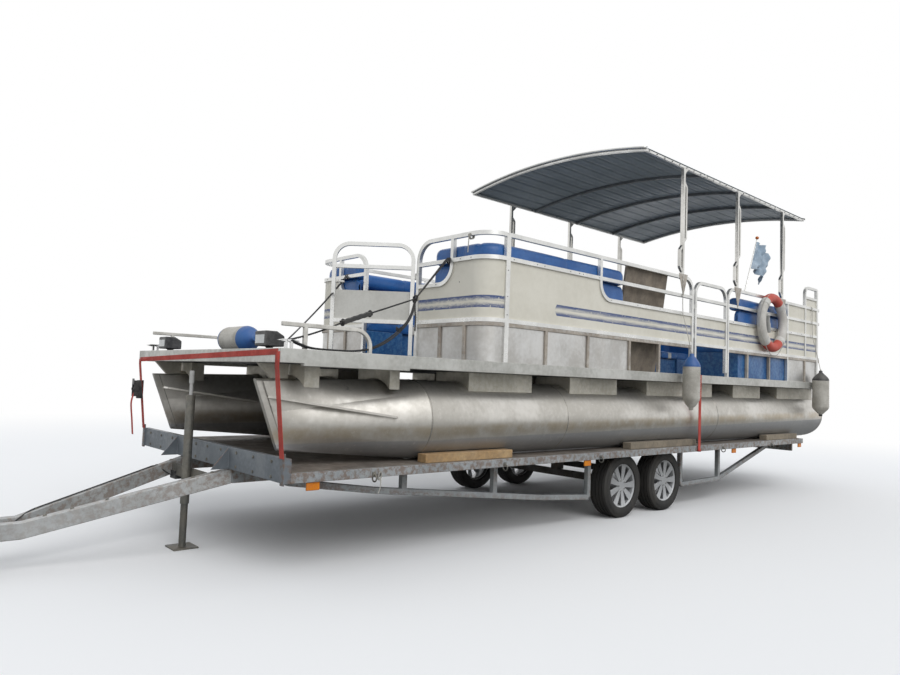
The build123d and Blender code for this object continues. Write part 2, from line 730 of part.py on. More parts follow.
def banded(plane, inner, outer, angle, length):
    """Add an arched band between two radii, run aft from a crosswise plane."""
    with BuildSketch(plane) as section:
        with BuildLine():
            high = CenterArc((0, ROOF_CENTRE), outer, 90 - angle, 2 * angle)
            low = CenterArc((0, ROOF_CENTRE), inner, 90 - angle, 2 * angle)
            Line(high @ 0, low @ 0)
            Line(high @ 1, low @ 1)
        make_face()
    extrude(section.sketch, amount=-length)


def roof_sheet():
    length = ROOF_REAR - ROOF_FRONT
    crest = ROOF_RADIUS + ROOF_SHEET + RIB_HEIGHT / 2 - RIB_ROOT
    with BuildPart() as sheet:
        banded(face_plane(ROOF_FRONT), ROOF_RADIUS, ROOF_RADIUS + ROOF_SHEET, ROOF_ANGLE, length)
        with BuildSketch(face_plane(ROOF_FRONT)) as ribs:
            for index in range(RIB_COUNT):
                turn = (index / (RIB_COUNT - 1) - 0.5) * 2 * ROOF_ANGLE * RIB_SPREAD
                lean = math.radians(turn)
                spot = (crest * math.sin(lean), ROOF_CENTRE + crest * math.cos(lean))
                with Locations(Location(spot, -turn)):
                    Trapezoid(RIB_WIDTH, RIB_HEIGHT, 65)
        extrude(ribs.sketch, amount=-length)
    save(sheet, "roof_sheet")


def roof_frame():
    edge_x = ROOF_HALF - ARCH
    with BuildPart() as frame:
        for y in ARCH_YS:
            banded(face_plane(y - ARCH / 2), ROOF_RADIUS - ARCH, ROOF_RADIUS, ROOF_ANGLE, ARCH)
        for side in (1, -1):
            for front, rear in zip(ARCH_YS, ARCH_YS[1:]):
                block(
                    sorted((side * edge_x, side * (edge_x + ARCH - EDGE_RAIL_INSET))),
                    (front + ARCH / 2 + SEAT_GAP, rear - ARCH / 2 - SEAT_GAP),
                    (ROOF_EDGE - ARCH, ROOF_EDGE - EDGE_RAIL_INSET),
                )
    save(frame, "roof_frame")


# Canopy posts: a straight tube with bent tubes beside it, on a three-cornered foot plate
STRUT_OFFSET = 52
STRUT_WIDTH = 26
# Bent struts: (top height, height where the bend ends, side of the post), heights above the deck
STRUTS = ((1960, 1330, 1), (1300, RAIL_TOP + 50, -1))


def canopy_posts():
    with BuildPart() as posts:
        for y in POST_YS:
            top = ROOF_EDGE - ARCH
            runs = [(0, ((y, above(RAIL_TOP) + TUBE / 2), (y, top)))]
            tubes(side_plane(FENCE_X), runs, TUBE, TUBE)
            bent = []
            for high, low, lean in STRUTS:
                away = y + lean * STRUT_OFFSET
                route = (
                    (y, above(high)),
                    (away, above(high) - STRUT_OFFSET),
                    (away, above(low) + STRUT_OFFSET),
                    (y, above(low)),
                )
                bent.append((STRUT_BEND, route))
            tubes(side_plane(FENCE_X), bent, STRUT_WIDTH, STRUT_WIDTH)
            plate(
                side_plane(FENCE_X + TUBE / 2),
                (
                    (y - FOOT_PLATE / 2, above(RAIL_TOP) + TUBE),
                    (y + FOOT_PLATE / 2, above(RAIL_TOP) + TUBE),
                    (y, above(RAIL_MID) - TUBE / 2),
                ),
                PANEL,
            )
            plate(
                side_plane(FENCE_X),
                ((y, top), (y + GUSSET, top), (y, top - GUSSET)),
                PANEL,
                both=True,
            )
        mirror(about=Plane.YZ)
    save(posts, "canopy_posts")


# Bow deck fittings
HOOP_TUBE = 26
HOOP_X = DECK_WIDTH / 2 - 120
HOOP_FRONT = 60
HOOP_REAR = 700
HOOP_LEG = 220
HOOP_HEIGHT = 150
HOOP_BEND = 110


def deck_hoops():
    with BuildPart() as hoops:
        height = DECK_TOP + HOOP_HEIGHT
        runs = (
            (HOOP_BEND, ((HOOP_FRONT, height), (HOOP_REAR, height), (HOOP_REAR, DECK_TOP))),
            (0, ((HOOP_LEG, DECK_TOP), (HOOP_LEG, height))),
        )
        tubes(side_plane(HOOP_X), runs, HOOP_TUBE, HOOP_TUBE)
        mirror(about=Plane.YZ)
    save(hoops, "deck_hoops")


LAMP_X = DECK_WIDTH / 2 - 370
LAMP_WIDTH = 150
LAMP_HEIGHT = 95
LAMP_DEPTH = 130
LAMP_FRONT = 50
LAMP_FOOT = 18


def docking_lamps():
    with BuildPart() as lamps:
        block(
            (LAMP_X - LAMP_FOOT, LAMP_X + LAMP_FOOT),
            (LAMP_FRONT + LAMP_DEPTH / 2 - LAMP_FOOT, LAMP_FRONT + LAMP_DEPTH / 2 + LAMP_FOOT),
            (DECK_TOP, DECK_TOP + LAMP_FOOT),
        )
        plate(
            side_plane(LAMP_X),
            (
                (LAMP_FRONT, DECK_TOP + LAMP_FOOT),
                (LAMP_FRONT, DECK_TOP + LAMP_FOOT + LAMP_HEIGHT),
                (LAMP_FRONT + LAMP_DEPTH * 0.6, DECK_TOP + LAMP_FOOT + LAMP_HEIGHT),
                (LAMP_FRONT + LAMP_DEPTH, DECK_TOP + LAMP_FOOT + LAMP_HEIGHT * 0.7),
                (LAMP_FRONT + LAMP_DEPTH, DECK_TOP + LAMP_FOOT),
            ),
            LAMP_WIDTH / 2,
            both=True,
        )
        mirror(about=Plane.YZ)
    save(lamps, "docking_lamps")


CLEAT_X = DECK_WIDTH / 2 - 90
CLEAT_Y = 95
CLEAT_LENGTH = 150
CLEAT_BAR = 18
CLEAT_RISE = 40


def cleats():
    with BuildPart() as fittings:
        for leg in (-CLEAT_BAR, CLEAT_BAR):
            block(
                (CLEAT_X - CLEAT_BAR / 2, CLEAT_X + CLEAT_BAR / 2),
                (CLEAT_Y + leg - CLEAT_BAR / 2, CLEAT_Y + leg + CLEAT_BAR / 2),
                (DECK_TOP, DECK_TOP + CLEAT_RISE),
            )
        low = DECK_TOP + CLEAT_RISE
        plate(
            side_plane(CLEAT_X),
            (
                (CLEAT_Y - CLEAT_LENGTH / 2, low + CLEAT_BAR / 2),
                (CLEAT_Y - CLEAT_LENGTH / 4, low + CLEAT_BAR),
                (CLEAT_Y + CLEAT_LENGTH / 4, low + CLEAT_BAR),
                (CLEAT_Y + CLEAT_LENGTH / 2, low + CLEAT_BAR / 2),
                (CLEAT_Y + CLEAT_LENGTH / 4, low),
                (CLEAT_Y - CLEAT_LENGTH / 4, low),
            ),
            CLEAT_BAR / 2,
            both=True,
        )
        mirror(about=Plane.YZ)
    save(fittings, "cleats")


# Lounges: a base, seat cushions and a rolled backrest that runs round the fence's corner
FORWARD_LOUNGE_END = 3440
AFT_LOUNGE_START = 5700
SHORT_LOUNGE_START = FULL_PANEL_Y - 300
END_SEAT_INNER = LOUNGE_X - 613
BASE_INSET = 40
BASE_WALL = 12
BACK_TOP = 915
BACK_ROLL = 150
BACK_SHEET = 55
CUSHION_GAP = 4
PAD_RADIUS = 30
LOUNGES = (
    # side, y at the fence's end face, y where the long seat stops, inner x of the end seat
    (1, BOW_FENCE_Y + TUBE / 2 + 6, FORWARD_LOUNGE_END, END_SEAT_INNER),
    (-1, BOW_FENCE_Y + TUBE / 2 + 6, FORWARD_LOUNGE_END, END_SEAT_INNER),
    (1, STERN_FENCE_Y - TUBE / 2 - 6, AFT_LOUNGE_START, END_SEAT_INNER + 60),
    (-1, STERN_FENCE_Y - TUBE / 2 - 6, SHORT_LOUNGE_START, END_SEAT_INNER + 60),
)


def lounge_bases():
    """Moulded boxes under the seats, open below."""
    with BuildPart() as bases:
        for side, end_y, stop_y, inner_x in LOUNGES:
            aft = 1 if stop_y > end_y else -1
            turn_y = end_y + aft * LOUNGE_DEPTH
            for inset, mode in ((0, Mode.ADD), (BASE_WALL, Mode.SUBTRACT)):
                height = BASE_HEIGHT - inset
                with BuildSketch(level_plane(DECK_TOP)) as corner:
                    with Locations((side * (inner_x + LOUNGE_X) / 2, (end_y + turn_y) / 2)):
                        Rectangle(LOUNGE_X - inner_x - 2 * inset, LOUNGE_DEPTH - 2 * inset)
                    outer = corner.vertices().sort_by_distance((side * LOUNGE_X, end_y, 0))[0]
                    fillet(outer, radius=CORNER_RADIUS - inset)
                extrude(corner.sketch, amount=height, mode=mode)
                block(
                    spans(side * (LOUNGE_X - LOUNGE_DEPTH + BASE_INSET + inset), side * (LOUNGE_X - inset)),
                    spans(turn_y + aft * (SEAT_GAP + inset), stop_y - aft * inset),
                    (DECK_TOP, DECK_TOP + height),
                    mode=mode,
                )
    save(bases, "lounge_bases")


def rounded_pad(xs, ys, zs, radius):
    with BuildSketch(level_plane(zs[0])) as base:
        with Locations(((xs[0] + xs[1]) / 2, (ys[0] + ys[1]) / 2)):
            RectangleRounded(xs[1] - xs[0], ys[1] - ys[0], radius)
    extrude(base.sketch, amount=zs[1] - zs[0])


def lounge_seats():
    low = DECK_TOP + BASE_HEIGHT + SEAT_GAP
    outer = LOUNGE_X - BACK_THICK - CUSHION_GAP
    with BuildPart() as seats:
        for side, end_y, stop_y, inner_x in LOUNGES:
            aft = 1 if stop_y > end_y else -1
            near = end_y + aft * (BACK_THICK + CUSHION_GAP)
            turn_y = end_y + aft * LOUNGE_DEPTH
            long_start = turn_y + aft * CUSHION_GAP
            middle = (long_start + stop_y) / 2
            pads = (
                # inner x, first y, last y
                (inner_x, near, turn_y),
                (LOUNGE_X - LOUNGE_DEPTH, long_start, middle - aft * CUSHION_GAP),
                (LOUNGE_X - LOUNGE_DEPTH, middle, stop_y),
            )
            for inner, first, last in pads:
                rounded_pad(
                    spans(side * inner, side * outer), spans(first, last), (low, low + CUSHION), PAD_RADIUS
                )
    save(seats, "lounge_seats")


def lounge_backs():
    """Backrests: a thin padded sheet with a fat roll along its top, bent round the corner."""
    low = DECK_TOP + BASE_HEIGHT + SEAT_GAP
    high = DECK_TOP + BACK_TOP
    with BuildPart() as backs:
        for side, end_y, stop_y, inner_x in LOUNGES:
            aft = 1 if stop_y > end_y else -1
            roll = high - BACK_ROLL
            for thick, foot, top in ((BACK_SHEET, low, roll), (BACK_THICK, roll, high)):
                middle_y = end_y + aft * thick / 2
                middle_x = side * (LOUNGE_X - thick / 2)
                with BuildSketch(level_plane(foot)) as outline:
                    with BuildLine():
                        FilletPolyline(
                            (side * inner_x, middle_y),
                            (middle_x, middle_y),
                            (middle_x, stop_y),
                            radius=CORNER_RADIUS - thick / 2,
                        )
                    trace(line_width=thick)
                extrude(outline.sketch, amount=top - foot)
    save(backs, "lounge_backs")


# Helm: console with a leaning wheel, and a pedestal seat
CONSOLE_WIDTH = 510
CONSOLE_X = 300 - FENCE_X
CONSOLE_YS = (3950, 4350)
CONSOLE_HEIGHT = 820
CONSOLE_OUTLINE = (
    # y, height above the deck
    (CONSOLE_YS[0], 0),
    (CONSOLE_YS[1] - 60, 0),
    (CONSOLE_YS[1], CONSOLE_HEIGHT - 220),
    (CONSOLE_YS[1] - 120, CONSOLE_HEIGHT),
    (CONSOLE_YS[0] + 40, CONSOLE_HEIGHT + 60),
)
WHEEL_RADIUS = 180
WHEEL_TUBE = 11
WHEEL_LEAN = 25
WHEEL_HUB = 30
COLUMN_RADIUS = 24
COLUMN = 100
COLUMN_SHOWN = 60
SEAT_Y = 4950
SEAT_RISE = 420
HELM_SEAT = 480
HELM_PAD = 100
HELM_BACK_LAP = 10
HELM_BACK = 470
PEDESTAL_FOOT = (140, 15)
PEDESTAL_RADIUS = 35
LEAN = math.radians(WHEEL_LEAN)
WHEEL_AXIS = (0, math.cos(LEAN), math.sin(LEAN))
CONSOLE_FACE = (CONSOLE_YS[1] - 60, DECK_TOP + CONSOLE_HEIGHT - 110)
WHEEL_CENTRE = (
    CONSOLE_X,
    BOW_Y + CONSOLE_FACE[0] + COLUMN_SHOWN * math.cos(LEAN),
    CONSOLE_FACE[1] + COLUMN_SHOWN * math.sin(LEAN),
)


def helm_console():
    column = Plane(origin=WHEEL_CENTRE, x_dir=(1, 0, 0), z_dir=WHEEL_AXIS).offset(-WHEEL_TUBE / 2 - SEAT_GAP)
    outline = [(y, above(height)) for y, height in CONSOLE_OUTLINE]
    with BuildPart() as console:
        plate(side_plane(CONSOLE_X), outline, CONSOLE_WIDTH / 2, both=True)
        with BuildSketch(column):
            Circle(COLUMN_RADIUS)
        extrude(amount=-COLUMN)
    save(console, "helm_console")


def steering_wheel():
    disc = Plane(origin=WHEEL_CENTRE, x_dir=(1, 0, 0), z_dir=WHEEL_AXIS)
    with BuildPart() as wheel:
        with BuildSketch(Plane(origin=disc.origin, x_dir=disc.x_dir, z_dir=-disc.y_dir)):
            with Locations((WHEEL_RADIUS, 0)):
                RegularPolygon(WHEEL_TUBE, 8)
        revolve(axis=Axis(disc.origin, disc.z_dir))
        with BuildSketch(disc):
            Circle(WHEEL_HUB)
            with PolarLocations(WHEEL_RADIUS / 2, 3, start_angle=90):
                Rectangle(WHEEL_RADIUS, 2 * WHEEL_TUBE)
        extrude(amount=WHEEL_TUBE / 2, both=True)
    save(wheel, "steering_wheel")


def helm_seat():
    half = HELM_SEAT / 2
    low = DECK_TOP + SEAT_RISE
    xs = (CONSOLE_X - half, CONSOLE_X + half)
    rear = SEAT_Y + half
    with BuildPart() as seat:
        for radius, height in (PEDESTAL_FOOT, (PEDESTAL_RADIUS, SEAT_RISE)):
            with BuildSketch(level_plane(DECK_TOP)) as pedestal:
                with Locations((CONSOLE_X, SEAT_Y)):
                    Circle(radius)
            extrude(pedestal.sketch, amount=height)
        rounded_pad(xs, (SEAT_Y - half, rear), (low, low + HELM_PAD), 60)
        rounded_pad(xs, (rear - HELM_PAD, rear), (low + HELM_PAD - HELM_BACK_LAP, low + HELM_BACK), 40)
    save(seat, "helm_seat")


# Life ring and fenders
RING_RADIUS = 295
RING_SECTION = 55
RING_SIDES = 12
RING_Y = FULL_PANEL_Y - 580
RING_RISE = 1400
RING_Z = BED_TOP + RING_RISE
RING_X = FENCE_X + TUBE / 2 + RING_SECTION * math.cos(math.radians(180 / RING_SIDES)) + SEAT_GAP


def life_ring():
    centre = (RING_X, BOW_Y + RING_Y, RING_Z)
    with BuildPart() as ring:
        with BuildSketch(Plane(origin=centre, x_dir=(1, 0, 0), z_dir=(0, -1, 0))):
            with Locations((0, RING_RADIUS)):
                RegularPolygon(RING_SECTION, RING_SIDES, rotation=180 / RING_SIDES)
        revolve(axis=Axis(centre, (1, 0, 0)))
    save(ring, "life_ring")


FENDERS = (
    # y, height of the lower end above the ground, radius, body length
    (4405, BED_TOP + 370, 85, 480),
    (DECK_LENGTH - 425, BED_TOP + 290, 100, 500),
)
FENDER_X = DECK_WIDTH / 2 + 105
FENDER_EYE = 22
FENDER_LINE = 5


def fenders():
    hook_x = FENCE_X + TUBE / 2
    spare = spare_fender()
    with BuildPart() as bodies:
        for y, low, radius, length in FENDERS:
            neck = radius * 0.6
            middle = Plane(origin=(FENDER_X, BOW_Y + y, low), x_dir=(1, 0, 0), z_dir=(0, -1, 0))
            with BuildSketch(middle):
                with BuildLine():
                    Polyline(
                        (0, 0),
                        (FENDER_EYE, 0),
                        (FENDER_EYE, neck * 0.5),
                        (radius, neck + 40),
                        (radius, neck + length - 80),
                        (FENDER_EYE, length + neck),
                        (FENDER_EYE, length + neck * 1.5),
                        (0, length + neck * 1.5),
                        close=True,
                    )
                make_face()
            revolve(axis=Axis(middle.origin, (0, 0, 1)))
            height = low + length + neck * 1.5
            route = (
                (FENDER_X, height - 5),
                (FENDER_X, height + 30),
                (hook_x + FENDER_LINE, above(RAIL_LOW)),
                (hook_x + FENDER_LINE, above(RAIL_TOP)),
            )
            with BuildSketch(face_plane(y)) as line:
                with BuildLine():
                    Polyline(*route)
                trace(line_width=2 * FENDER_LINE)
            extrude(line.sketch, amount=FENDER_LINE, both=True)
        mirror(about=Plane.YZ)
        add(spare)
    save(bodies, "fenders")


# The spare: y, x, radius, body length
SPARE_FENDER = (330, -60, 95, 430)


def spare_fender():
    """A spare fender that lies across the bow deck."""
    y, x, radius, length = SPARE_FENDER
    centre = (x, BOW_Y + y, DECK_TOP + radius + SEAT_GAP)
    with BuildPart() as fender:
        with BuildSketch(Plane(origin=centre, x_dir=(1, 0, 0), z_dir=(0, -1, 0))):
            with BuildLine():
                Polyline(
                    (-length / 2 - 60, 0),
                    (-length / 2 - 60, FENDER_EYE),
                    (-length / 2, radius),
                    (length / 2, radius),
                    (length / 2 + 60, FENDER_EYE),
                    (length / 2 + 60, 0),
                    close=True,
                )
            make_face()
        revolve(axis=Axis(centre, (1, 0, 0)))
    return fender.part


# Trailer
BED_BOTTOM = BED_TOP - BED_RAIL
BED_CROSS_YS = (200, 1100, 2000, 3200, 4035, 4780, 5590, BED_REAR - 590, BED_REAR - 100)
BED_CROSS = 40
LIGHT_BOARD = 40


def trailer_bed_frame():
    inner = BED_HALF - BED_RAIL_WIDTH - SEAT_GAP
    with BuildPart() as frame:
        block((BED_HALF - BED_RAIL_WIDTH, BED_HALF), (BED_FRONT, BED_REAR), (BED_BOTTOM, BED_TOP))
        mirror(about=Plane.YZ)
        for y in BED_CROSS_YS:
            block((-inner, inner), (y - BED_CROSS / 2, y + BED_CROSS / 2), (BED_BOTTOM, BED_TOP - BED_FLOOR))
    save(frame, "trailer_bed_frame")


def trailer_bed_floor():
    inner = BED_HALF - BED_RAIL_WIDTH
    with BuildPart() as floor:
        block((-inner, inner), (BED_FRONT, BED_REAR), (BED_TOP - BED_FLOOR, BED_TOP))
    save(floor, "trailer_bed_floor")


def trailer_main_beams():
    """Main beams under the bed; ahead of it they bend down and in to the drawbar."""
    with BuildPart() as beams:
        block(
            (MAIN_BEAM_X - MAIN_BEAM_WIDTH / 2, MAIN_BEAM_X + MAIN_BEAM_WIDTH / 2),
            (BED_FRONT, BED_REAR - LIGHT_BOARD),
            (BED_BOTTOM - MAIN_BEAM_HEIGHT, BED_BOTTOM),
        )
        mirror(about=Plane.YZ)
    save(beams, "trailer_main_beams")


def drawbar():
    """Two beams that fall and close in from the bed to the coupling."""
    top = BED_BOTTOM
    bend_top = BED_TOP - DRAWBAR_DROP
    half = MAIN_BEAM_WIDTH / 2
    with BuildPart() as bars:
        with BuildSketch(face_plane(BED_FRONT)):
            with Locations((MAIN_BEAM_X, top - MAIN_BEAM_HEIGHT / 2)):
                Rectangle(2 * half, MAIN_BEAM_HEIGHT)
        with BuildSketch(face_plane(DRAWBAR_BEND_Y)):
            with Locations((DRAWBAR_X, bend_top - MAIN_BEAM_HEIGHT / 2)):
                Rectangle(2 * half, MAIN_BEAM_HEIGHT)
        loft(ruled=True)
        block(
            (DRAWBAR_X - half, DRAWBAR_X + half),
            (DRAWBAR_END_Y, DRAWBAR_BEND_Y),
            (bend_top - MAIN_BEAM_HEIGHT, bend_top),
        )
        mirror(about=Plane.YZ)
    save(bars, "drawbar_beams")


GUSSET_X = 450
GUSSET_REACH = 120
STAKE = (40, 12)


def headboard():
    top = BED_TOP + HEADBOARD_LIFT
    low = top - HEADBOARD_HEIGHT
    front = BED_FRONT - BED_RAIL_WIDTH
    with BuildPart() as board:
        block((-BED_HALF, BED_HALF), (front, BED_FRONT), (low, top))
        for side in (1, -1):
            plate(
                side_plane(side * GUSSET_X),
                ((front, top), (front, low), (front - GUSSET_REACH, low)),
                PANEL,
                both=True,
            )
            block(
                spans(side * (BED_HALF - STAKE[0]), side * BED_HALF),
                (front - STAKE[1], front),
                (low - 10, top + 30),
            )
    save(board, "headboard")


CHORDS = (
    # points: y, depth below the bed's top
    ((200, 81), (860, 180), (2560, 370), (3200, 420)),
    ((4780, 420), (5590, 410), (BED_REAR - 590, 81)),
)
CHORD_POSTS = ((1100, 2000, 3200), (4780, 5590))


def chord_depth(chord, y):
    """Depth of a chord below the bed's top at y."""
    for (y0, z0), (y1, z1) in zip(chord, chord[1:]):
        if y0 <= y <= y1:
            return z0 + (z1 - z0) * (y - y0) / (y1 - y0)


def truss_chords():
    """Braced chord under each side of the bed, open where the wheels run."""
    with BuildPart() as truss:
        for chord, posts in zip(CHORDS, CHORD_POSTS):
            runs = [(0, tuple((y, BED_TOP - z) for y, z in chord))]
            for y in posts:
                runs.append((0, ((y, BED_BOTTOM), (y, BED_TOP - chord_depth(chord, y)))))
            tubes(side_plane(CHORD_X), runs, CHORD_TUBE, CHORD_TUBE)
        mirror(about=Plane.YZ)
    save(truss, "truss_chords")


# Axles: a tube across, trailing arms and stub axles that carry the wheels
AXLE_TUBE = 60
AXLE_LIFT = 60
ARM_THICK = 24
ARM_HEIGHT = 70
ARM_GAP = 2
SPRING_PAD = 60


def axles():
    inner_x = WHEEL_OUTER_X - TYRE_WIDTH
    arm_x = inner_x - ARM_THICK / 2 - ARM_GAP
    beam_xs = (MAIN_BEAM_X - MAIN_BEAM_WIDTH / 2, MAIN_BEAM_X + MAIN_BEAM_WIDTH / 2)
    with BuildPart() as beams:
        for y in AXLE_YS:
            tube_y = y - ARM_REACH
            tube_z = WHEEL_Z + AXLE_LIFT
            block(
                (ARM_THICK / 2 - arm_x, arm_x - ARM_THICK / 2),
                (tube_y - AXLE_TUBE / 2, tube_y + AXLE_TUBE / 2),
                (tube_z - AXLE_TUBE / 2, tube_z + AXLE_TUBE / 2),
            )
            for side in (1, -1):
                with BuildSketch(side_plane(side * arm_x)) as arm:
                    with BuildLine():
                        Polyline((tube_y, tube_z), (y, WHEEL_Z))
                    trace(line_width=ARM_HEIGHT)
                    with Locations((tube_y, tube_z), (y, WHEEL_Z)):
                        Circle(ARM_HEIGHT / 2)
                extrude(arm.sketch, amount=ARM_THICK / 2, both=True)
                with BuildSketch(side_plane(side * arm_x)) as stub:
                    with Locations((y, WHEEL_Z)):
                        Circle(STUB_RADIUS)
                extrude(stub.sketch, amount=side * (TYRE_WIDTH / 2 + 40))
                block(
                    spans(side * beam_xs[0], side * beam_xs[1]),
                    (tube_y - SPRING_PAD, tube_y + SPRING_PAD),
                    (tube_z + AXLE_TUBE / 2, BED_BOTTOM - MAIN_BEAM_HEIGHT),
                )
    save(beams, "axles")


# Wheels: local x is outward along the axle, local y is the radius
TYRE_SECTION = (
    # outward from the wheel's centre plane, radius
    (-80, 200),
    (-95, 232),
    (-93, 262),
    (-78, 286),
    (-50, 295),
    (50, 295),
    (78, 286),
    (93, 262),
    (95, 232),
    (80, 200),
)
RIM_SECTION = (
    (-78, 199.5),
    (-78, 192),
    (-40, 180),
    (40, 180),
    (70, 186),
    (78, 199.5),
)
COVER_DISH = 62
HUB_RADIUS = 45
HUB_BORE = STUB_RADIUS + 0.3


def wheel(side, y, place):
    centre = (side * (WHEEL_OUTER_X - TYRE_WIDTH / 2), BOW_Y + y, WHEEL_Z)
    section = Plane(origin=centre, x_dir=(side, 0, 0), z_dir=(0, -side, 0))
    axle = Axis(centre, (1, 0, 0))
    face = Plane(origin=centre, x_dir=(0, 1, 0), z_dir=(side, 0, 0))
    with BuildPart() as tyre:
        with BuildSketch(section):
            with BuildLine():
                Polyline(*TYRE_SECTION, close=True)
            make_face()
        revolve(axis=axle)
    save(tyre, f"tyre_{place}")
    with BuildPart() as rim:
        with BuildSketch(section):
            with BuildLine():
                Polyline(*RIM_SECTION, close=True)
            make_face()
        revolve(axis=axle)
        with BuildSketch(face.offset(COVER_DISH)):
            Circle(HUB_RADIUS)
            with PolarLocations((HUB_RADIUS + 185) / 2, SPOKES):
                Trapezoid(66, 185 - HUB_RADIUS + 20, 84, rotation=90)
        extrude(amount=8)
        with BuildSketch(face.offset(-40)):
            Circle(HUB_RADIUS)
        extrude(amount=COVER_DISH + 40)
        with BuildSketch(face.offset(-40)):
            Circle(HUB_BORE)
        extrude(amount=COVER_DISH + 30, mode=Mode.SUBTRACT)
    save(rim, f"rim_{place}")


# Jack on the drawbar: a tube on a bracket and a leg that slides in it
def jack():
    tube = Plane(origin=(0, BOW_Y + JACK_Y, JACK_TUBE_BOTTOM), x_dir=(1, 0, 0), z_dir=(0, 0, 1))
    with BuildPart() as housing:
        with BuildSketch(tube):
            Circle(JACK_TUBE_RADIUS)
        extrude(amount=JACK_TUBE_TOP - JACK_TUBE_BOTTOM)
        with BuildSketch(tube):
            Circle(JACK_LEG_RADIUS + 0.5)
        extrude(amount=JACK_TUBE_TOP - JACK_TUBE_BOTTOM - 40, mode=Mode.SUBTRACT)
        with BuildSketch(tube.offset(JACK_TUBE_TOP - JACK_TUBE_BOTTOM)):
            Circle(12)
        extrude(amount=80)
        with BuildSketch(tube.offset(JACK_TUBE_TOP - JACK_TUBE_BOTTOM + 80)):
            Circle(17)
        extrude(amount=90)
        block(
            (-JACK_BAR, JACK_BAR),
            (JACK_Y + JACK_TUBE_RADIUS - 4, JACK_Y + JACK_TUBE_RADIUS + 10),
            JACK_BAR_ZS,
        )
    save(housing, "jack_tube")
    with BuildPart() as leg:
        with BuildSketch(tube.offset(-JACK_TUBE_BOTTOM)):
            Rectangle(JACK_FOOT, JACK_FOOT)
        extrude(amount=JACK_FOOT_THICK)
        with BuildSketch(tube.offset(JACK_FOOT_THICK - JACK_TUBE_BOTTOM)):
            Circle(JACK_LEG_RADIUS)
        extrude(amount=JACK_TUBE_BOTTOM + 260)
    save(leg, "jack_leg")


# Coupling: a ball cup under a nose on the drawbar's tip
def coupling():
    tip = -COUPLING_REACH
    top = BED_TOP - DRAWBAR_DROP - 20
    cup_y = tip + BALL_RADIUS + 12
    cup = (0, BOW_Y + cup_y, top - 45)
    with BuildPart() as head:
        block((-35, 35), (cup_y, DRAWBAR_END_Y + 200), (top - 50, top))
        with BuildSketch(level_plane(top - 60)):
            with Locations((0, cup_y)):
                Circle(BALL_RADIUS + 12)
        extrude(amount=60)
        with BuildSketch(level_plane(top - 60)):
            with Locations((0, cup_y)):
                Circle(BALL_RADIUS + SEAT_GAP)
        extrude(amount=45, mode=Mode.SUBTRACT)
        inner = DRAWBAR_X - MAIN_BEAM_WIDTH / 2
        block((-inner, inner), (DRAWBAR_END_Y - 30, DRAWBAR_END_Y + 120), (top - 60, top - 10))
        block((-15, 15), (cup_y + 40, DRAWBAR_END_Y + 150), (top + 20, top + 45))
        block((-8, 8), (cup_y + 60, cup_y + 90), (top, top + 20))
    save(head, "ball_coupling")


MARKER_YS = (270, 2940, 5590, BED_REAR - 70)
MARKER = (14, 90, 50)


def marker_lamps():
    with BuildPart() as lamps:
        for y in MARKER_YS:
            block(
                (BED_HALF - 25, BED_HALF - 25 + MARKER[0]),
                (y - MARKER[1] / 2, y + MARKER[1] / 2),
                (BED_BOTTOM - MARKER[2], BED_BOTTOM),
            )
        mirror(about=Plane.YZ)
    save(lamps, "marker_lamps")


LIGHT_BOARD_HEIGHT = 110
LIGHT_BOARD_INSET = 128


def light_board():
    half = BED_HALF - LIGHT_BOARD_INSET
    low = BED_BOTTOM - LIGHT_BOARD_HEIGHT
    with BuildPart() as board:
        block((-half, half), (BED_REAR - LIGHT_BOARD, BED_REAR), (low, BED_BOTTOM))
    save(board, "rear_light_board")


TIMBERS = ((1170, 2040), (3640, 4830), (BED_REAR - 940, BED_REAR - 60))
TIMBER_HEIGHT = 60
TIMBER_WIDTH = 90
TIMBER_X = BED_HALF - 98


def timbers():
    with BuildPart() as chocks:
        for start, end in TIMBERS:
            block(
                (TIMBER_X - TIMBER_WIDTH / 2, TIMBER_X + TIMBER_WIDTH / 2),
                (start, end),
                (BED_TOP, BED_TOP + TIMBER_HEIGHT),
            )
        mirror(about=Plane.YZ)
    save(chocks, "bed_timbers")


# Outboard motor, tilted up for the road about its pivot behind the deck
MOTOR_TILT = 55
PIVOT_Y = DECK_LENGTH + 250
PIVOT_Z = DECK_TOP - 60
TRANSOM_WIDTH = 560
TRANSOM_GAP = 120
TRANSOM_THICK = 40
TRANSOM_SPAN = (420, 60)
PIVOT_RADIUS = 12
CHEEK_X = 110
CHEEK = 20
CHEEK_GAP = 5


def motor_plane(height=0, aft=0):
    """Level section of the motor before it is tilted: x to port, y aft."""
    lean = math.radians(MOTOR_TILT)
    up = (0, -math.sin(lean), math.cos(lean))
    back = (0, math.cos(lean), math.sin(lean))
    origin = (
        0,
        BOW_Y + PIVOT_Y + aft * back[1] + height * up[1],
        PIVOT_Z + aft * back[2] + height * up[2],
    )
    return Plane(origin=origin, x_dir=(1, 0, 0), z_dir=up)


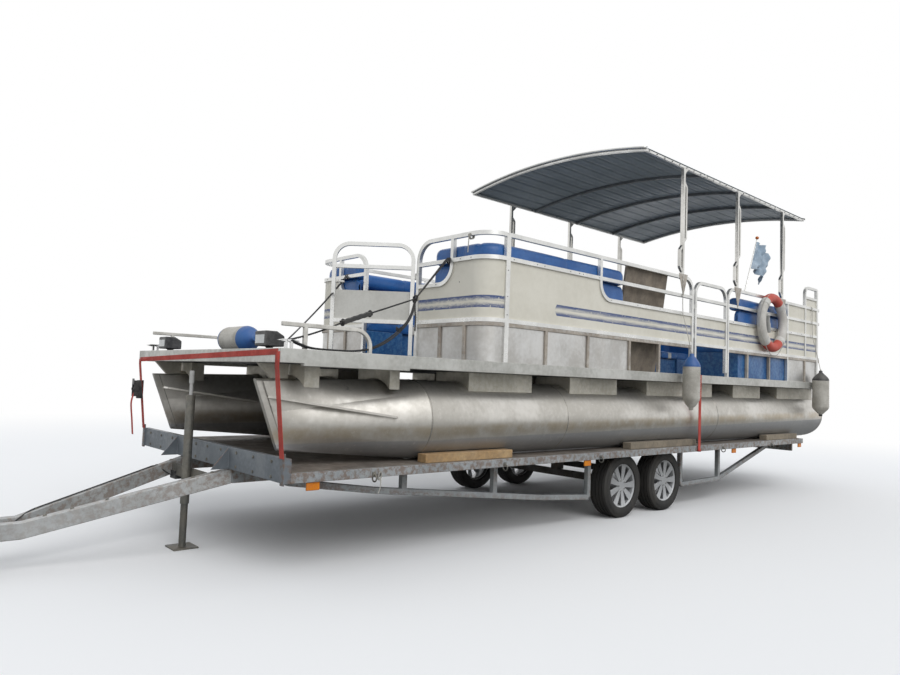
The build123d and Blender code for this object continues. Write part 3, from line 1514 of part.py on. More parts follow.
def motor_bracket():
    with BuildPart() as bracket:
        block(
            (-TRANSOM_WIDTH / 2, TRANSOM_WIDTH / 2),
            (DECK_LENGTH + TRANSOM_GAP, DECK_LENGTH + TRANSOM_GAP + TRANSOM_THICK),
            (DECK_TOP - TRANSOM_SPAN[0], DECK_TOP - TRANSOM_SPAN[1]),
        )
        for side in (1, -1):
            block(
                spans(side * 200, side * 240),
                (DECK_LENGTH, DECK_LENGTH + TRANSOM_GAP),
                (RAIL_BOTTOM, RAIL_BOTTOM + 70),
            )
            plate(
                side_plane(side * CHEEK_X),
                (
                    (DECK_LENGTH + 160, PIVOT_Z - 250),
                    (DECK_LENGTH + 160, PIVOT_Z - 12),
                    (PIVOT_Y + 25, PIVOT_Z + 25),
                    (PIVOT_Y + 25, PIVOT_Z - 30),
                    (DECK_LENGTH + 200, PIVOT_Z - 250),
                ),
                CHEEK / 2,
                both=True,
            )
        with BuildSketch(side_plane(0)):
            with Locations((PIVOT_Y, PIVOT_Z)):
                Circle(PIVOT_RADIUS + SEAT_GAP)
        extrude(amount=2 * CHEEK_X, both=True, mode=Mode.SUBTRACT)
    save(bracket, "motor_bracket")


def motor_swivel():
    """Steering tube that tilts on the pivot pin between the bracket's cheeks."""
    with BuildPart() as swivel:
        with BuildSketch(side_plane(0)):
            with Locations((PIVOT_Y, PIVOT_Z)):
                Circle(PIVOT_RADIUS)
        extrude(amount=CHEEK_X + CHEEK / 2, both=True)
        with BuildSketch(motor_plane(SWIVEL_LOW, STEER_AFT)):
            Circle(SWIVEL_RADIUS)
        extrude(amount=SWIVEL_HIGH - SWIVEL_LOW)
        with BuildSketch(motor_plane(-SWIVEL_RADIUS, STEER_AFT / 2)):
            Rectangle(2 * (CHEEK_X - CHEEK / 2 - CHEEK_GAP), STEER_AFT)
        extrude(amount=SWIVEL_RADIUS)
    save(swivel, "motor_swivel")


# Cowl sections: (height above the pivot, width, length, centre aft of the pivot, corner radius)
COWL = (
    (60, 250, 420, 250, 60),
    (200, 330, 560, 270, 90),
    (430, 320, 540, 270, 90),
    (560, 240, 400, 240, 80),
)
COWL_WALL = 6
MIDSECTION = (
    (-620, 90, 220, 240, 30),
    (-230, 110, 150, 225, 40),
    (30, 120, 150, 225, 40),
    (59, 200, 330, 245, 50),
)
STEER_AFT = 90
SWIVEL_RADIUS = 34
SWIVEL_LOW = -210
SWIVEL_HIGH = 20
YOKE = 28
YOKE_WIDTH = 90
YOKE_GAP = 0.5


# Gearcase under the motor: (height above the pivot, half width, length, centre aft of the pivot)
PLATE_HEIGHT = -600
PROPELLER_HEIGHT = -745
GEARCASE_RADIUS = 52
GEARCASE_FRONT = 90
GEARCASE_REAR = 330
SKEG_FOOT = -900
SKEG_THICK = 22
SHAFT_RADIUS = 12
PROPELLER_RADIUS = 130
HUB_LENGTH = 110
BLADES = 3
BLADE_HALF = 50


def motor_section(sections):
    outlines = []
    for height, width, length, aft, corner in sections:
        with BuildSketch(motor_plane(height, aft)) as outline:
            RectangleRounded(width, length, corner)
        outlines.append(outline.sketch)
    return outlines


def crosswise(height, aft):
    """Plane across the motor's fore and aft line: its normal points aft along the propeller shaft."""
    level = motor_plane(height, aft)
    return Plane(origin=level.origin, x_dir=(1, 0, 0), z_dir=level.y_dir)


def outboard_engine():
    foot, belt, shoulder, crown = COWL
    inside = [
        (height, width - 2 * COWL_WALL, length - 2 * COWL_WALL, aft, corner - COWL_WALL)
        for height, width, length, aft, corner in (
            (foot[0] + 2 * COWL_WALL, *foot[1:]),
            belt,
            shoulder,
            (crown[0] - 2 * COWL_WALL, *crown[1:]),
        )
    ]
    with BuildPart() as cowl:
        loft(motor_section(COWL), ruled=True)
        loft(motor_section(inside), ruled=True, mode=Mode.SUBTRACT)
    save(cowl, "outboard_cowl")
    with BuildPart() as leg:
        loft(motor_section(MIDSECTION), ruled=True)
        for low in (SWIVEL_LOW - YOKE_GAP - YOKE, SWIVEL_HIGH + YOKE_GAP):
            with BuildSketch(motor_plane(low, STEER_AFT)):
                Circle(YOKE_WIDTH / 2)
                with Locations((0, YOKE_WIDTH / 2)):
                    Rectangle(YOKE_WIDTH, YOKE_WIDTH)
            extrude(amount=YOKE)
        with BuildSketch(motor_plane(PLATE_HEIGHT, 235)):
            RectangleRounded(210, 400, 60)
        extrude(amount=10)
        with BuildSketch(crosswise(PROPELLER_HEIGHT, GEARCASE_FRONT)):
            Circle(GEARCASE_RADIUS)
        extrude(amount=GEARCASE_REAR - GEARCASE_FRONT)
        with BuildSketch(crosswise(PROPELLER_HEIGHT, GEARCASE_FRONT)):
            Circle(GEARCASE_RADIUS)
        with BuildSketch(crosswise(PROPELLER_HEIGHT, GEARCASE_FRONT - 90)):
            Circle(GEARCASE_RADIUS * 0.3)
        loft(ruled=True)
        shin = motor_plane(0, 0)
        side = Plane(origin=shin.origin, x_dir=shin.y_dir, z_dir=(1, 0, 0))
        plate(
            side,
            (
                (130, PLATE_HEIGHT),
                (300, PLATE_HEIGHT),
                (280, PROPELLER_HEIGHT),
                (300, SKEG_FOOT),
                (240, SKEG_FOOT),
                (150, PROPELLER_HEIGHT),
            ),
            SKEG_THICK / 2,
            both=True,
        )
        with BuildSketch(crosswise(PROPELLER_HEIGHT, GEARCASE_REAR)):
            Circle(SHAFT_RADIUS)
        extrude(amount=HUB_LENGTH + 20)
    save(leg, "outboard_leg")
    with BuildPart() as propeller:
        start = crosswise(PROPELLER_HEIGHT, GEARCASE_REAR + 6)
        with BuildSketch(start):
            Circle(45)
        extrude(amount=HUB_LENGTH)
        for turn in range(BLADES):
            blade = math.radians(90 + 360 * turn / BLADES)
            out = start.x_dir * math.cos(blade) + start.y_dir * math.sin(blade)
            across = start.z_dir.cross(out)
            pitch = math.radians(28)
            chord = across * math.cos(pitch) + start.z_dir * math.sin(pitch)
            face = Plane(
                origin=start.origin + start.z_dir * (HUB_LENGTH / 2) + out * (PROPELLER_RADIUS / 2 + 15),
                x_dir=chord,
                z_dir=chord.cross(out),
            )
            with BuildSketch(face):
                Ellipse(BLADE_HALF, PROPELLER_RADIUS / 2 - 15)
            extrude(amount=4, both=True)
        with BuildSketch(start):
            Circle(SHAFT_RADIUS + 0.3)
        extrude(amount=HUB_LENGTH, mode=Mode.SUBTRACT)
    save(propeller, "outboard_propeller")


# Webbing that holds the boat down: over the bow and down each side
STRAP = 50
WEB = 3
BOW_STRAP_X = DECK_WIDTH / 2 - 35
SIDE_STRAP_Y = 4770
RATCHET = (48, 40, 150)
RATCHET_RISE = 330


def tie_down_straps():
    front = -WEB / 2 - SEAT_GAP
    anchor_y = BED_FRONT - BED_RAIL_WIDTH - 14
    side_x = DECK_WIDTH / 2 + WEB / 2 + SEAT_GAP
    with BuildPart() as straps:
        plate(
            face_plane(-SEAT_GAP),
            (
                (-BOW_STRAP_X, RAIL_BOTTOM - 5),
                (-BOW_STRAP_X, RAIL_BOTTOM + STRAP * 0.6),
                (BOW_STRAP_X, DECK_TOP - 4),
                (BOW_STRAP_X, DECK_TOP - STRAP * 0.8),
            ),
            WEB,
        )
        rail_foot = DECK_TOP - BOW_RAIL_HEIGHT - 6
        for side, top in ((1, DECK_TOP - STRAP * 0.4), (-1, RAIL_BOTTOM + STRAP * 0.3)):
            route = ((front, top), (front, rail_foot), (anchor_y, BED_TOP + HEADBOARD_LIFT))
            tubes(side_plane(side * BOW_STRAP_X), ((0, route),), WEB, STRAP)
        ratchet_z = BED_TOP + RATCHET_RISE
        block(
            (-BOW_STRAP_X - RATCHET[0] / 2, -BOW_STRAP_X + RATCHET[0] / 2),
            (-RATCHET[1] / 2 + 10, RATCHET[1] / 2 + 10),
            (ratchet_z, ratchet_z + RATCHET[2]),
        )
        for side in (1, -1):
            route = (
                (side * (side_x - 70), DECK_TOP + WEB / 2 + SEAT_GAP),
                (side * side_x, DECK_TOP + WEB / 2 + SEAT_GAP),
                (side * side_x, BED_BOTTOM + 10),
            )
            with BuildSketch(face_plane(SIDE_STRAP_Y)) as band:
                with BuildLine():
                    Polyline(*route)
                trace(line_width=WEB)
            extrude(band.sketch, amount=STRAP / 2, both=True)
            block(
                spans(side * BED_HALF, side * (side_x + 10)),
                (SIDE_STRAP_Y - 20, SIDE_STRAP_Y + 20),
                (BED_BOTTOM, BED_BOTTOM + 20),
            )
    save(straps, "tie_down_straps")


# A loose table board that leans on the port fence behind the forward lounge
# Front end, width, height, thickness
BOARD = (3500, 700, 1000, 25)
BOARD_LEAN = 0.13


def table_board():
    start, width, height, thick = BOARD
    shift = height * BOARD_LEAN
    foot_x = LOUNGE_X - shift - thick
    with BuildPart() as board:
        with BuildSketch(face_plane(start)) as section:
            with BuildLine():
                Polyline(
                    (foot_x, DECK_TOP),
                    (foot_x + thick, DECK_TOP),
                    (foot_x + thick + shift, DECK_TOP + height),
                    (foot_x + shift, DECK_TOP + height),
                    close=True,
                )
            make_face()
        extrude(section.sketch, amount=-width)
    save(board, "table_board")


os.makedirs("parts", exist_ok=True)
pontoon(1, "pontoon_port")
pontoon(-1, "pontoon_starboard")
deck_risers()
deck_rails()
deck_cross_beams()
deck_floor()
fence_rails_bow()
fence_rails_stern()
fence_rails_port()
fence_rails_starboard()
fence_lower_frame()
fence_panels()
fence_lower_panels()
gates()
roof_sheet()
roof_frame()
canopy_posts()
deck_hoops()
docking_lamps()
cleats()
lounge_bases()
lounge_seats()
lounge_backs()
helm_console()
steering_wheel()
helm_seat()
life_ring()
fenders()
trailer_bed_frame()
trailer_bed_floor()
trailer_main_beams()
drawbar()
headboard()
truss_chords()
axles()
for side, side_name in ((1, "port"), (-1, "starboard")):
    for y, end_name in zip(AXLE_YS, ("front", "rear")):
        wheel(side, y, f"{side_name}_{end_name}")
jack()
coupling()
marker_lamps()
light_board()
timbers()
motor_bracket()
motor_swivel()
outboard_engine()
tie_down_straps()
table_board()
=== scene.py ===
import bmesh
import bpy
import math
from mathutils import Matrix, Vector
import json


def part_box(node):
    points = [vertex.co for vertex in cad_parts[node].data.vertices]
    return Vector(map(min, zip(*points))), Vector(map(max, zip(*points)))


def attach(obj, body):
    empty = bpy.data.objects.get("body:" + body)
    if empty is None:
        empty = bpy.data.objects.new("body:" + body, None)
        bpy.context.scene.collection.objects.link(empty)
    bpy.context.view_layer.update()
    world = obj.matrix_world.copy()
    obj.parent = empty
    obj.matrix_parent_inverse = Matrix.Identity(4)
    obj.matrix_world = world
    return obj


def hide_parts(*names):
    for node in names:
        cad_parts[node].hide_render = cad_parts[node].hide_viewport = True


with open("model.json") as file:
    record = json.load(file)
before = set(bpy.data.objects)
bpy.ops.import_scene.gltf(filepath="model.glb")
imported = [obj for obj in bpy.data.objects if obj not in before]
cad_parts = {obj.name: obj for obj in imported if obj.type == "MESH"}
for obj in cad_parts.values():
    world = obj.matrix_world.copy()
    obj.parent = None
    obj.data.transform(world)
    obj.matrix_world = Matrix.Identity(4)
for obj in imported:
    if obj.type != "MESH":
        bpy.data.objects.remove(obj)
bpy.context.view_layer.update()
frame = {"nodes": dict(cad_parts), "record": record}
nodes = frame["nodes"]
BODY_OF = {node: body for body, group in frame["record"]["behaviour"]["bodies"].items() for node in group}

# Metres. x is to port, y runs aft, z is the height above the ground
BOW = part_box("deck_floor")[0].y - 0.04
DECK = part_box("deck_floor")[1].z
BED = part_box("trailer_bed_floor")[1].z
TUBE = 0.032
FENCE_X = 1.195


def spot(x, along, up):
    """A point by its place to port, aft of the deck's front edge and above the deck."""
    return Vector((x, BOW + along, DECK + up))


# Shader nodes
def add_node(tree, kind, values=None, **settings):
    made = tree.nodes.new("ShaderNode" + kind)
    for name, value in settings.items():
        setattr(made, name, value)
    for name, value in (values or {}).items():
        if isinstance(value, bpy.types.NodeSocket):
            tree.links.new(value, made.inputs[name])
        else:
            made.inputs[name].default_value = value
    return made


def start_group(name, inputs, outputs):
    tree = bpy.data.node_groups.new(name, "ShaderNodeTree")
    for socket, kind, value in inputs:
        made = tree.interface.new_socket(name=socket, in_out="INPUT", socket_type="NodeSocket" + kind)
        made.default_value = value
    for socket, kind in outputs:
        tree.interface.new_socket(name=socket, in_out="OUTPUT", socket_type="NodeSocket" + kind)
    return tree, tree.nodes.new("NodeGroupInput"), tree.nodes.new("NodeGroupOutput")


def noise(tree, vector, scale, detail=4.0, rough=0.55):
    return add_node(tree, "TexNoise", {"Vector": vector, "Scale": scale, "Detail": detail, "Roughness": rough})


def ramp(tree, value, low, high, kind="SMOOTHSTEP"):
    """A value mapped from low..high to 0..1."""
    made = add_node(tree, "MapRange", {"Value": value, "From Min": low, "From Max": high}, interpolation_type=kind)
    return made.outputs["Result"]


def sums(tree, operation, first, second):
    made = add_node(tree, "Math", {0: first, 1: second}, operation=operation)
    return made.outputs["Value"]


def blended(tree, share, first, second):
    made = add_node(tree, "Mix", data_type="RGBA")
    for socket, value in ((0, share), (6, first), (7, second)):
        if isinstance(value, bpy.types.NodeSocket):
            tree.links.new(value, made.inputs[socket])
        else:
            made.inputs[socket].default_value = value
    return made.outputs[2]


def object_place(tree):
    return add_node(tree, "TexCoord").outputs["Object"]


def make_patches():
    """Cloudy change between two tones, with fine specks."""
    tree, inner, outer = start_group(
        "patchy tone",
        [("First", "Color", (1, 1, 1, 1)), ("Second", "Color", (0, 0, 0, 1)), ("Scale", "Float", 3.0)],
        [("Colour", "Color"), ("Mask", "Float")],
    )
    place = object_place(tree)
    broad = noise(tree, place, inner.outputs["Scale"], 6.0, 0.6).outputs["Fac"]
    fine = noise(tree, place, sums(tree, "MULTIPLY", inner.outputs["Scale"], 14.0), 3.0).outputs["Fac"]
    mask = ramp(tree, sums(tree, "ADD", broad, sums(tree, "MULTIPLY", fine, 0.35)), 0.48, 0.86)
    colour = blended(tree, mask, inner.outputs["First"], inner.outputs["Second"])
    tree.links.new(colour, outer.inputs["Colour"])
    tree.links.new(mask, outer.inputs["Mask"])
    return tree


def make_grain():
    """Drawn or brushed grain: noise pulled out along one direction."""
    tree, inner, outer = start_group(
        "drawn grain", [("Pull", "Vector", (1, 1, 1)), ("Scale", "Float", 60.0)], [("Height", "Float")]
    )
    pulled = add_node(tree, "VectorMath", {0: object_place(tree), 1: inner.outputs["Pull"]}, operation="MULTIPLY")
    height = noise(tree, pulled.outputs["Vector"], inner.outputs["Scale"], 5.0, 0.7).outputs["Fac"]
    tree.links.new(height, outer.inputs["Height"])
    return tree


def make_edge_wear():
    """Wear that breaks up along the outer edges."""
    tree, inner, outer = start_group(
        "edge wear", [("Amount", "Float", 0.5), ("Scale", "Float", 25.0)], [("Mask", "Float")]
    )
    point = add_node(tree, "NewGeometry").outputs["Pointiness"]
    edge = ramp(tree, point, 0.51, 0.6)
    broken = ramp(tree, noise(tree, object_place(tree), inner.outputs["Scale"], 6.0, 0.7).outputs["Fac"], 0.42, 0.6)
    mask = sums(tree, "MULTIPLY", sums(tree, "MULTIPLY", edge, broken), inner.outputs["Amount"])
    tree.links.new(mask, outer.inputs["Mask"])
    return tree


def make_dust():
    """Dust on what faces up, and grime in upright streaks."""
    tree, inner, outer = start_group(
        "dust", [("Amount", "Float", 0.3), ("Scale", "Float", 6.0)], [("Mask", "Float")]
    )
    facing = add_node(tree, "SeparateXYZ", {0: add_node(tree, "NewGeometry").outputs["Normal"]}).outputs["Z"]
    top = ramp(tree, facing, 0.2, 1.0)
    pulled = add_node(tree, "VectorMath", {0: object_place(tree), 1: (1, 1, 0.25)}, operation="MULTIPLY")
    streak = ramp(tree, noise(tree, pulled.outputs["Vector"], inner.outputs["Scale"], 7.0, 0.65).outputs["Fac"], 0.4, 0.75)
    shown = sums(tree, "MULTIPLY", sums(tree, "ADD", sums(tree, "MULTIPLY", top, 0.6), 0.4), streak)
    tree.links.new(sums(tree, "MULTIPLY", shown, inner.outputs["Amount"]), outer.inputs["Mask"])
    return tree


def make_band():
    """One where a value lies between two bounds, with soft ends."""
    tree, inner, outer = start_group(
        "band",
        [("Value", "Float", 0.0), ("Low", "Float", 0.0), ("High", "Float", 1.0), ("Soft", "Float", 0.01)],
        [("Mask", "Float")],
    )
    value = inner.outputs["Value"]
    soft = inner.outputs["Soft"]
    up = ramp(tree, sums(tree, "DIVIDE", sums(tree, "SUBTRACT", value, inner.outputs["Low"]), soft), 0.0, 1.0)
    down = ramp(tree, sums(tree, "DIVIDE", sums(tree, "SUBTRACT", inner.outputs["High"], value), soft), 0.0, 1.0)
    tree.links.new(sums(tree, "MULTIPLY", up, down), outer.inputs["Mask"])
    return tree


PATCHES = make_patches()
GRAIN = make_grain()
EDGE_WEAR = make_edge_wear()
DUST = make_dust()
BAND = make_band()


def grouped(tree, group, values):
    made = add_node(tree, "Group", node_tree=group)
    for name, value in values.items():
        if isinstance(value, bpy.types.NodeSocket):
            tree.links.new(value, made.inputs[name])
        else:
            made.inputs[name].default_value = value
    return made


def rgb(colour):
    return (*colour, 1.0)


class Finish:
    """A material with patchy tone, grain, worn edges and dust, to which masks are laid over."""

    def __init__(self, name, first, second, rough, metal=0.0, patch=3.0, grain=(60.0, (1, 1, 1)), bump=0.1,
                 wear=None, dust=(0.2, (0.42, 0.39, 0.33)), specular=0.5):
        self.material = bpy.data.materials.new(name)
        self.material.use_nodes = True
        self.tree = self.material.node_tree
        self.shader = self.tree.nodes["Principled BSDF"]
        self.shader.inputs["Metallic"].default_value = metal
        self.shader.inputs["Specular IOR Level"].default_value = specular
        tones = grouped(self.tree, PATCHES, {"First": rgb(first), "Second": rgb(second), "Scale": patch})
        self.mask = tones.outputs["Mask"]
        self.colour = tones.outputs["Colour"]
        self.rough = self.mapped(self.mask, *rough)
        lines = grouped(self.tree, GRAIN, {"Scale": grain[0], "Pull": grain[1]})
        self.grain = lines.outputs["Height"]
        if wear:
            worn = grouped(self.tree, EDGE_WEAR, {"Amount": wear[0]}).outputs["Mask"]
            self.cover(worn, wear[1])
        if dust:
            dusty = grouped(self.tree, DUST, {"Amount": dust[0]}).outputs["Mask"]
            self.cover(dusty, dust[1])
        self.height = self.grain
        self.depth = bump

    def mapped(self, value, low, high):
        made = add_node(self.tree, "MapRange", {"Value": value, "To Min": low, "To Max": high})
        return made.outputs["Result"]

    def cover(self, mask, colour):
        """Lay a colour over what is there, where the mask is one."""
        shown = colour if isinstance(colour, bpy.types.NodeSocket) else rgb(colour)
        self.colour = blended(self.tree, mask, self.colour, shown)

    def roughen(self, mask, value):
        made = add_node(self.tree, "Mix", data_type="FLOAT")
        self.tree.links.new(mask, made.inputs[0])
        self.tree.links.new(self.rough, made.inputs[2])
        made.inputs[3].default_value = value
        self.rough = made.outputs[0]

    def raise_by(self, value, share):
        """Add a height to the bump."""
        self.height = sums(self.tree, "ADD", self.height, sums(self.tree, "MULTIPLY", value, share))

    def axis(self, name):
        if not hasattr(self, "axes"):
            self.axes = add_node(self.tree, "SeparateXYZ", {0: object_place(self.tree)})
        return self.axes.outputs[name]

    def band(self, value, low, high, soft):
        return grouped(self.tree, BAND, {"Value": value, "Low": low, "High": high, "Soft": soft}).outputs["Mask"]

    def done(self, distance=0.001):
        bump = add_node(self.tree, "Bump", {"Height": self.height, "Strength": self.depth, "Distance": distance})
        self.tree.links.new(bump.outputs["Normal"], self.shader.inputs["Normal"])
        self.tree.links.new(self.colour, self.shader.inputs["Base Color"])
        self.tree.links.new(self.rough, self.shader.inputs["Roughness"])
        return self.material


# Finishes: name, first tone, second tone, roughness, metallic, patch size, grain, bump, worn edge, dust
ALONG = (1, 0.04, 1)
ACROSS = (0.04, 1, 1)
UPRIGHT = (1, 1, 0.05)
PLAIN = (1, 1, 1)
GREY_DUST = (0.33, 0.31, 0.27)
BARE = (0.62, 0.62, 0.6)
FINISHES = (
    ("fence tube", (0.78, 0.78, 0.76), (0.66, 0.66, 0.64), (0.25, 0.42), 0.8, 4, (90, PLAIN), 0.08, (0.4, BARE), (0.15, GREY_DUST)),
    ("beige channel", (0.42, 0.37, 0.31), (0.29, 0.25, 0.21), (0.4, 0.6), 0.2, 4, (70, PLAIN), 0.1, (0.6, BARE), (0.3, GREY_DUST)),
    ("mill panel", (0.6, 0.6, 0.59), (0.47, 0.46, 0.44), (0.3, 0.46), 0.85, 2.2, (90, UPRIGHT), 0.06, None, (0.4, (0.4, 0.35, 0.28))),
    ("deck rail", (0.56, 0.56, 0.53), (0.42, 0.42, 0.39), (0.38, 0.6), 0.6, 2.0, (60, ALONG), 0.1, (0.4, BARE), (0.35, GREY_DUST)),
    ("riser plate", (0.5, 0.47, 0.4), (0.38, 0.36, 0.3), (0.4, 0.6), 0.5, 3.0, (70, PLAIN), 0.1, (0.3, BARE), (0.4, GREY_DUST)),
    ("deck carpet", (0.22, 0.23, 0.24), (0.15, 0.155, 0.16), (0.85, 0.98), 0.0, 5, (420, PLAIN), 0.6, None, (0.4, GREY_DUST)),
    ("deck beam", (0.2, 0.2, 0.2), (0.12, 0.12, 0.12), (0.5, 0.7), 0.3, 3, (60, PLAIN), 0.1, None, (0.3, GREY_DUST)),
    ("canopy underside", (0.37, 0.42, 0.46), (0.29, 0.335, 0.37), (0.45, 0.62), 0.1, 1.2, (50, ALONG), 0.05, None, (0.12, (0.2, 0.21, 0.22))),
    ("canopy tube", (0.15, 0.165, 0.18), (0.1, 0.11, 0.12), (0.4, 0.55), 0.3, 3, (60, PLAIN), 0.1, (0.4, (0.4, 0.4, 0.4)), (0.1, GREY_DUST)),
    ("post tube", (0.72, 0.71, 0.68), (0.56, 0.55, 0.52), (0.16, 0.34), 0.95, 3, (90, UPRIGHT), 0.06, (0.3, BARE), (0.12, GREY_DUST)),
    ("white hoop", (0.72, 0.7, 0.65), (0.5, 0.48, 0.44), (0.3, 0.5), 0.2, 6, (60, PLAIN), 0.1, (0.6, (0.4, 0.38, 0.34)), (0.3, GREY_DUST)),
    ("black plastic", (0.02, 0.02, 0.022), (0.035, 0.035, 0.037), (0.35, 0.6), 0.0, 8, (300, PLAIN), 0.25, (0.5, (0.12, 0.12, 0.12)), (0.25, GREY_DUST)),
    ("bright chrome", (0.75, 0.75, 0.75), (0.55, 0.55, 0.54), (0.08, 0.25), 1.0, 9, (90, PLAIN), 0.05, None, (0.1, GREY_DUST)),
    ("blue locker", (0.012, 0.105, 0.3), (0.008, 0.07, 0.22), (0.32, 0.5), 0.0, 4, (160, PLAIN), 0.1, (0.5, (0.1, 0.25, 0.45)), (0.25, GREY_DUST)),
    ("blue vinyl", (0.018, 0.12, 0.37), (0.01, 0.08, 0.27), (0.28, 0.46), 0.0, 4, (260, PLAIN), 0.25, (0.35, (0.15, 0.28, 0.45)), (0.12, GREY_DUST)),
    ("white vinyl", (0.6, 0.58, 0.53), (0.48, 0.46, 0.42), (0.35, 0.55), 0.0, 4, (260, PLAIN), 0.25, None, (0.3, GREY_DUST)),
    ("console shell", (0.6, 0.59, 0.55), (0.5, 0.49, 0.45), (0.25, 0.45), 0.0, 3, (120, PLAIN), 0.05, None, (0.25, GREY_DUST)),
    ("ring foam", (0.62, 0.6, 0.56), (0.45, 0.43, 0.39), (0.5, 0.75), 0.0, 6, (200, PLAIN), 0.3, None, (0.4, GREY_DUST)),
    ("fender skin", (0.55, 0.53, 0.48), (0.36, 0.34, 0.3), (0.4, 0.65), 0.0, 7, (140, PLAIN), 0.2, None, (0.45, GREY_DUST)),
    ("trailer paint", (0.38, 0.4, 0.41), (0.27, 0.29, 0.3), (0.4, 0.62), 0.2, 3, (60, ALONG), 0.12, (0.9, (0.16, 0.085, 0.045)), (0.35, GREY_DUST)),
    ("drawbar paint", (0.52, 0.53, 0.53), (0.38, 0.39, 0.39), (0.38, 0.6), 0.25, 3, (60, ALONG), 0.12, (0.9, (0.2, 0.12, 0.07)), (0.35, GREY_DUST)),
    ("bed board", (0.17, 0.14, 0.115), (0.09, 0.075, 0.065), (0.6, 0.85), 0.0, 2.5, (50, ALONG), 0.4, None, (0.5, GREY_DUST)),
    ("pine timber", (0.5, 0.34, 0.17), (0.33, 0.2, 0.09), (0.55, 0.8), 0.0, 3, (70, ALONG), 0.5, (0.4, (0.2, 0.15, 0.1)), (0.3, GREY_DUST)),
    ("jack steel", (0.12, 0.125, 0.12), (0.2, 0.19, 0.165), (0.4, 0.65), 0.6, 7, (60, UPRIGHT), 0.25, (0.6, (0.35, 0.34, 0.3)), (0.5, (0.25, 0.19, 0.12))),
    ("axle steel", (0.09, 0.09, 0.09), (0.05, 0.045, 0.04), (0.5, 0.8), 0.4, 6, (60, PLAIN), 0.2, (0.5, (0.16, 0.09, 0.05)), (0.4, GREY_DUST)),
    ("tyre rubber", (0.018, 0.018, 0.018), (0.032, 0.031, 0.029), (0.6, 0.85), 0.0, 5, (120, PLAIN), 0.3, None, (0.5, (0.16, 0.14, 0.11))),
    ("wheel cover", (0.5, 0.51, 0.52), (0.4, 0.41, 0.42), (0.3, 0.5), 0.45, 5, (200, PLAIN), 0.08, (0.3, BARE), (0.35, GREY_DUST)),
    ("amber lens", (0.75, 0.25, 0.01), (0.6, 0.16, 0.008), (0.15, 0.35), 0.0, 12, (200, PLAIN), 0.1, None, (0.2, GREY_DUST)),
    ("red webbing", (0.5, 0.06, 0.045), (0.36, 0.045, 0.035), (0.7, 0.9), 0.0, 9, (200, PLAIN), 0.3, None, (0.3, (0.3, 0.2, 0.16))),
    ("motor paint", (0.035, 0.036, 0.04), (0.05, 0.05, 0.055), (0.2, 0.4), 0.0, 4, (120, PLAIN), 0.05, (0.4, (0.3, 0.3, 0.3)), (0.15, GREY_DUST)),
    ("motor casting", (0.08, 0.082, 0.088), (0.12, 0.12, 0.125), (0.35, 0.55), 0.2, 6, (140, PLAIN), 0.2, (0.5, (0.4, 0.4, 0.4)), (0.2, GREY_DUST)),
    ("fibre board", (0.24, 0.2, 0.155), (0.15, 0.125, 0.1), (0.8, 0.95), 0.0, 9, (160, (1, 0.2, 1)), 0.7, None, (0.3, GREY_DUST)),
    ("grip plastic", (0.5, 0.5, 0.49), (0.36, 0.36, 0.35), (0.4, 0.6), 0.0, 9, (200, PLAIN), 0.2, None, (0.4, GREY_DUST)),
    ("weld bead", (0.4, 0.38, 0.34), (0.25, 0.24, 0.22), (0.35, 0.6), 0.7, 9, (90, PLAIN), 0.2, None, (0.3, GREY_DUST)),
    ("white rope", (0.6, 0.58, 0.53), (0.46, 0.44, 0.4), (0.7, 0.9), 0.0, 9, (300, PLAIN), 0.3, None, (0.3, GREY_DUST)),
    ("black rope", (0.022, 0.022, 0.025), (0.04, 0.04, 0.042), (0.6, 0.85), 0.0, 9, (300, PLAIN), 0.3, None, (0.2, GREY_DUST)),
    ("snubber rubber", (0.02, 0.02, 0.02), (0.035, 0.035, 0.035), (0.4, 0.6), 0.0, 9, (200, PLAIN), 0.2, None, (0.3, GREY_DUST)),
    ("fender blue", (0.02, 0.09, 0.3), (0.03, 0.12, 0.33), (0.35, 0.6), 0.0, 7, (140, PLAIN), 0.2, None, (0.35, GREY_DUST)),
    ("fender black", (0.02, 0.02, 0.022), (0.035, 0.035, 0.037), (0.35, 0.6), 0.0, 7, (140, PLAIN), 0.2, None, (0.35, GREY_DUST)),
    ("ring band", (0.7, 0.69, 0.66), (0.55, 0.54, 0.5), (0.45, 0.7), 0.0, 9, (200, PLAIN), 0.2, None, (0.3, GREY_DUST)),
    ("orange knob", (0.6, 0.16, 0.03), (0.45, 0.1, 0.02), (0.3, 0.5), 0.0, 12, (200, PLAIN), 0.1, None, (0.2, GREY_DUST)),
    ("flag cloth", (0.42, 0.5, 0.58), (0.3, 0.39, 0.48), (0.7, 0.9), 0.0, 5, (500, PLAIN), 0.3, None, (0.15, GREY_DUST)),
    ("lamp glass", (0.6, 0.62, 0.62), (0.5, 0.52, 0.52), (0.08, 0.2), 0.2, 9, (300, PLAIN), 0.2, None, (0.2, GREY_DUST)),
    ("headboard paint", (0.2, 0.225, 0.25), (0.14, 0.16, 0.18), (0.35, 0.55), 0.3, 3, (60, PLAIN), 0.12, (0.9, (0.16, 0.085, 0.045)), (0.3, GREY_DUST)),
    ("weathered timber", (0.3, 0.25, 0.18), (0.2, 0.17, 0.13), (0.65, 0.9), 0.0, 3, (70, ALONG), 0.5, (0.4, (0.12, 0.1, 0.08)), (0.3, GREY_DUST)),
)


def finish(name):
    row = [each for each in FINISHES if each[0] == name][0]
    return Finish(*row)


HULL_WATER = 0.643 + 0.155


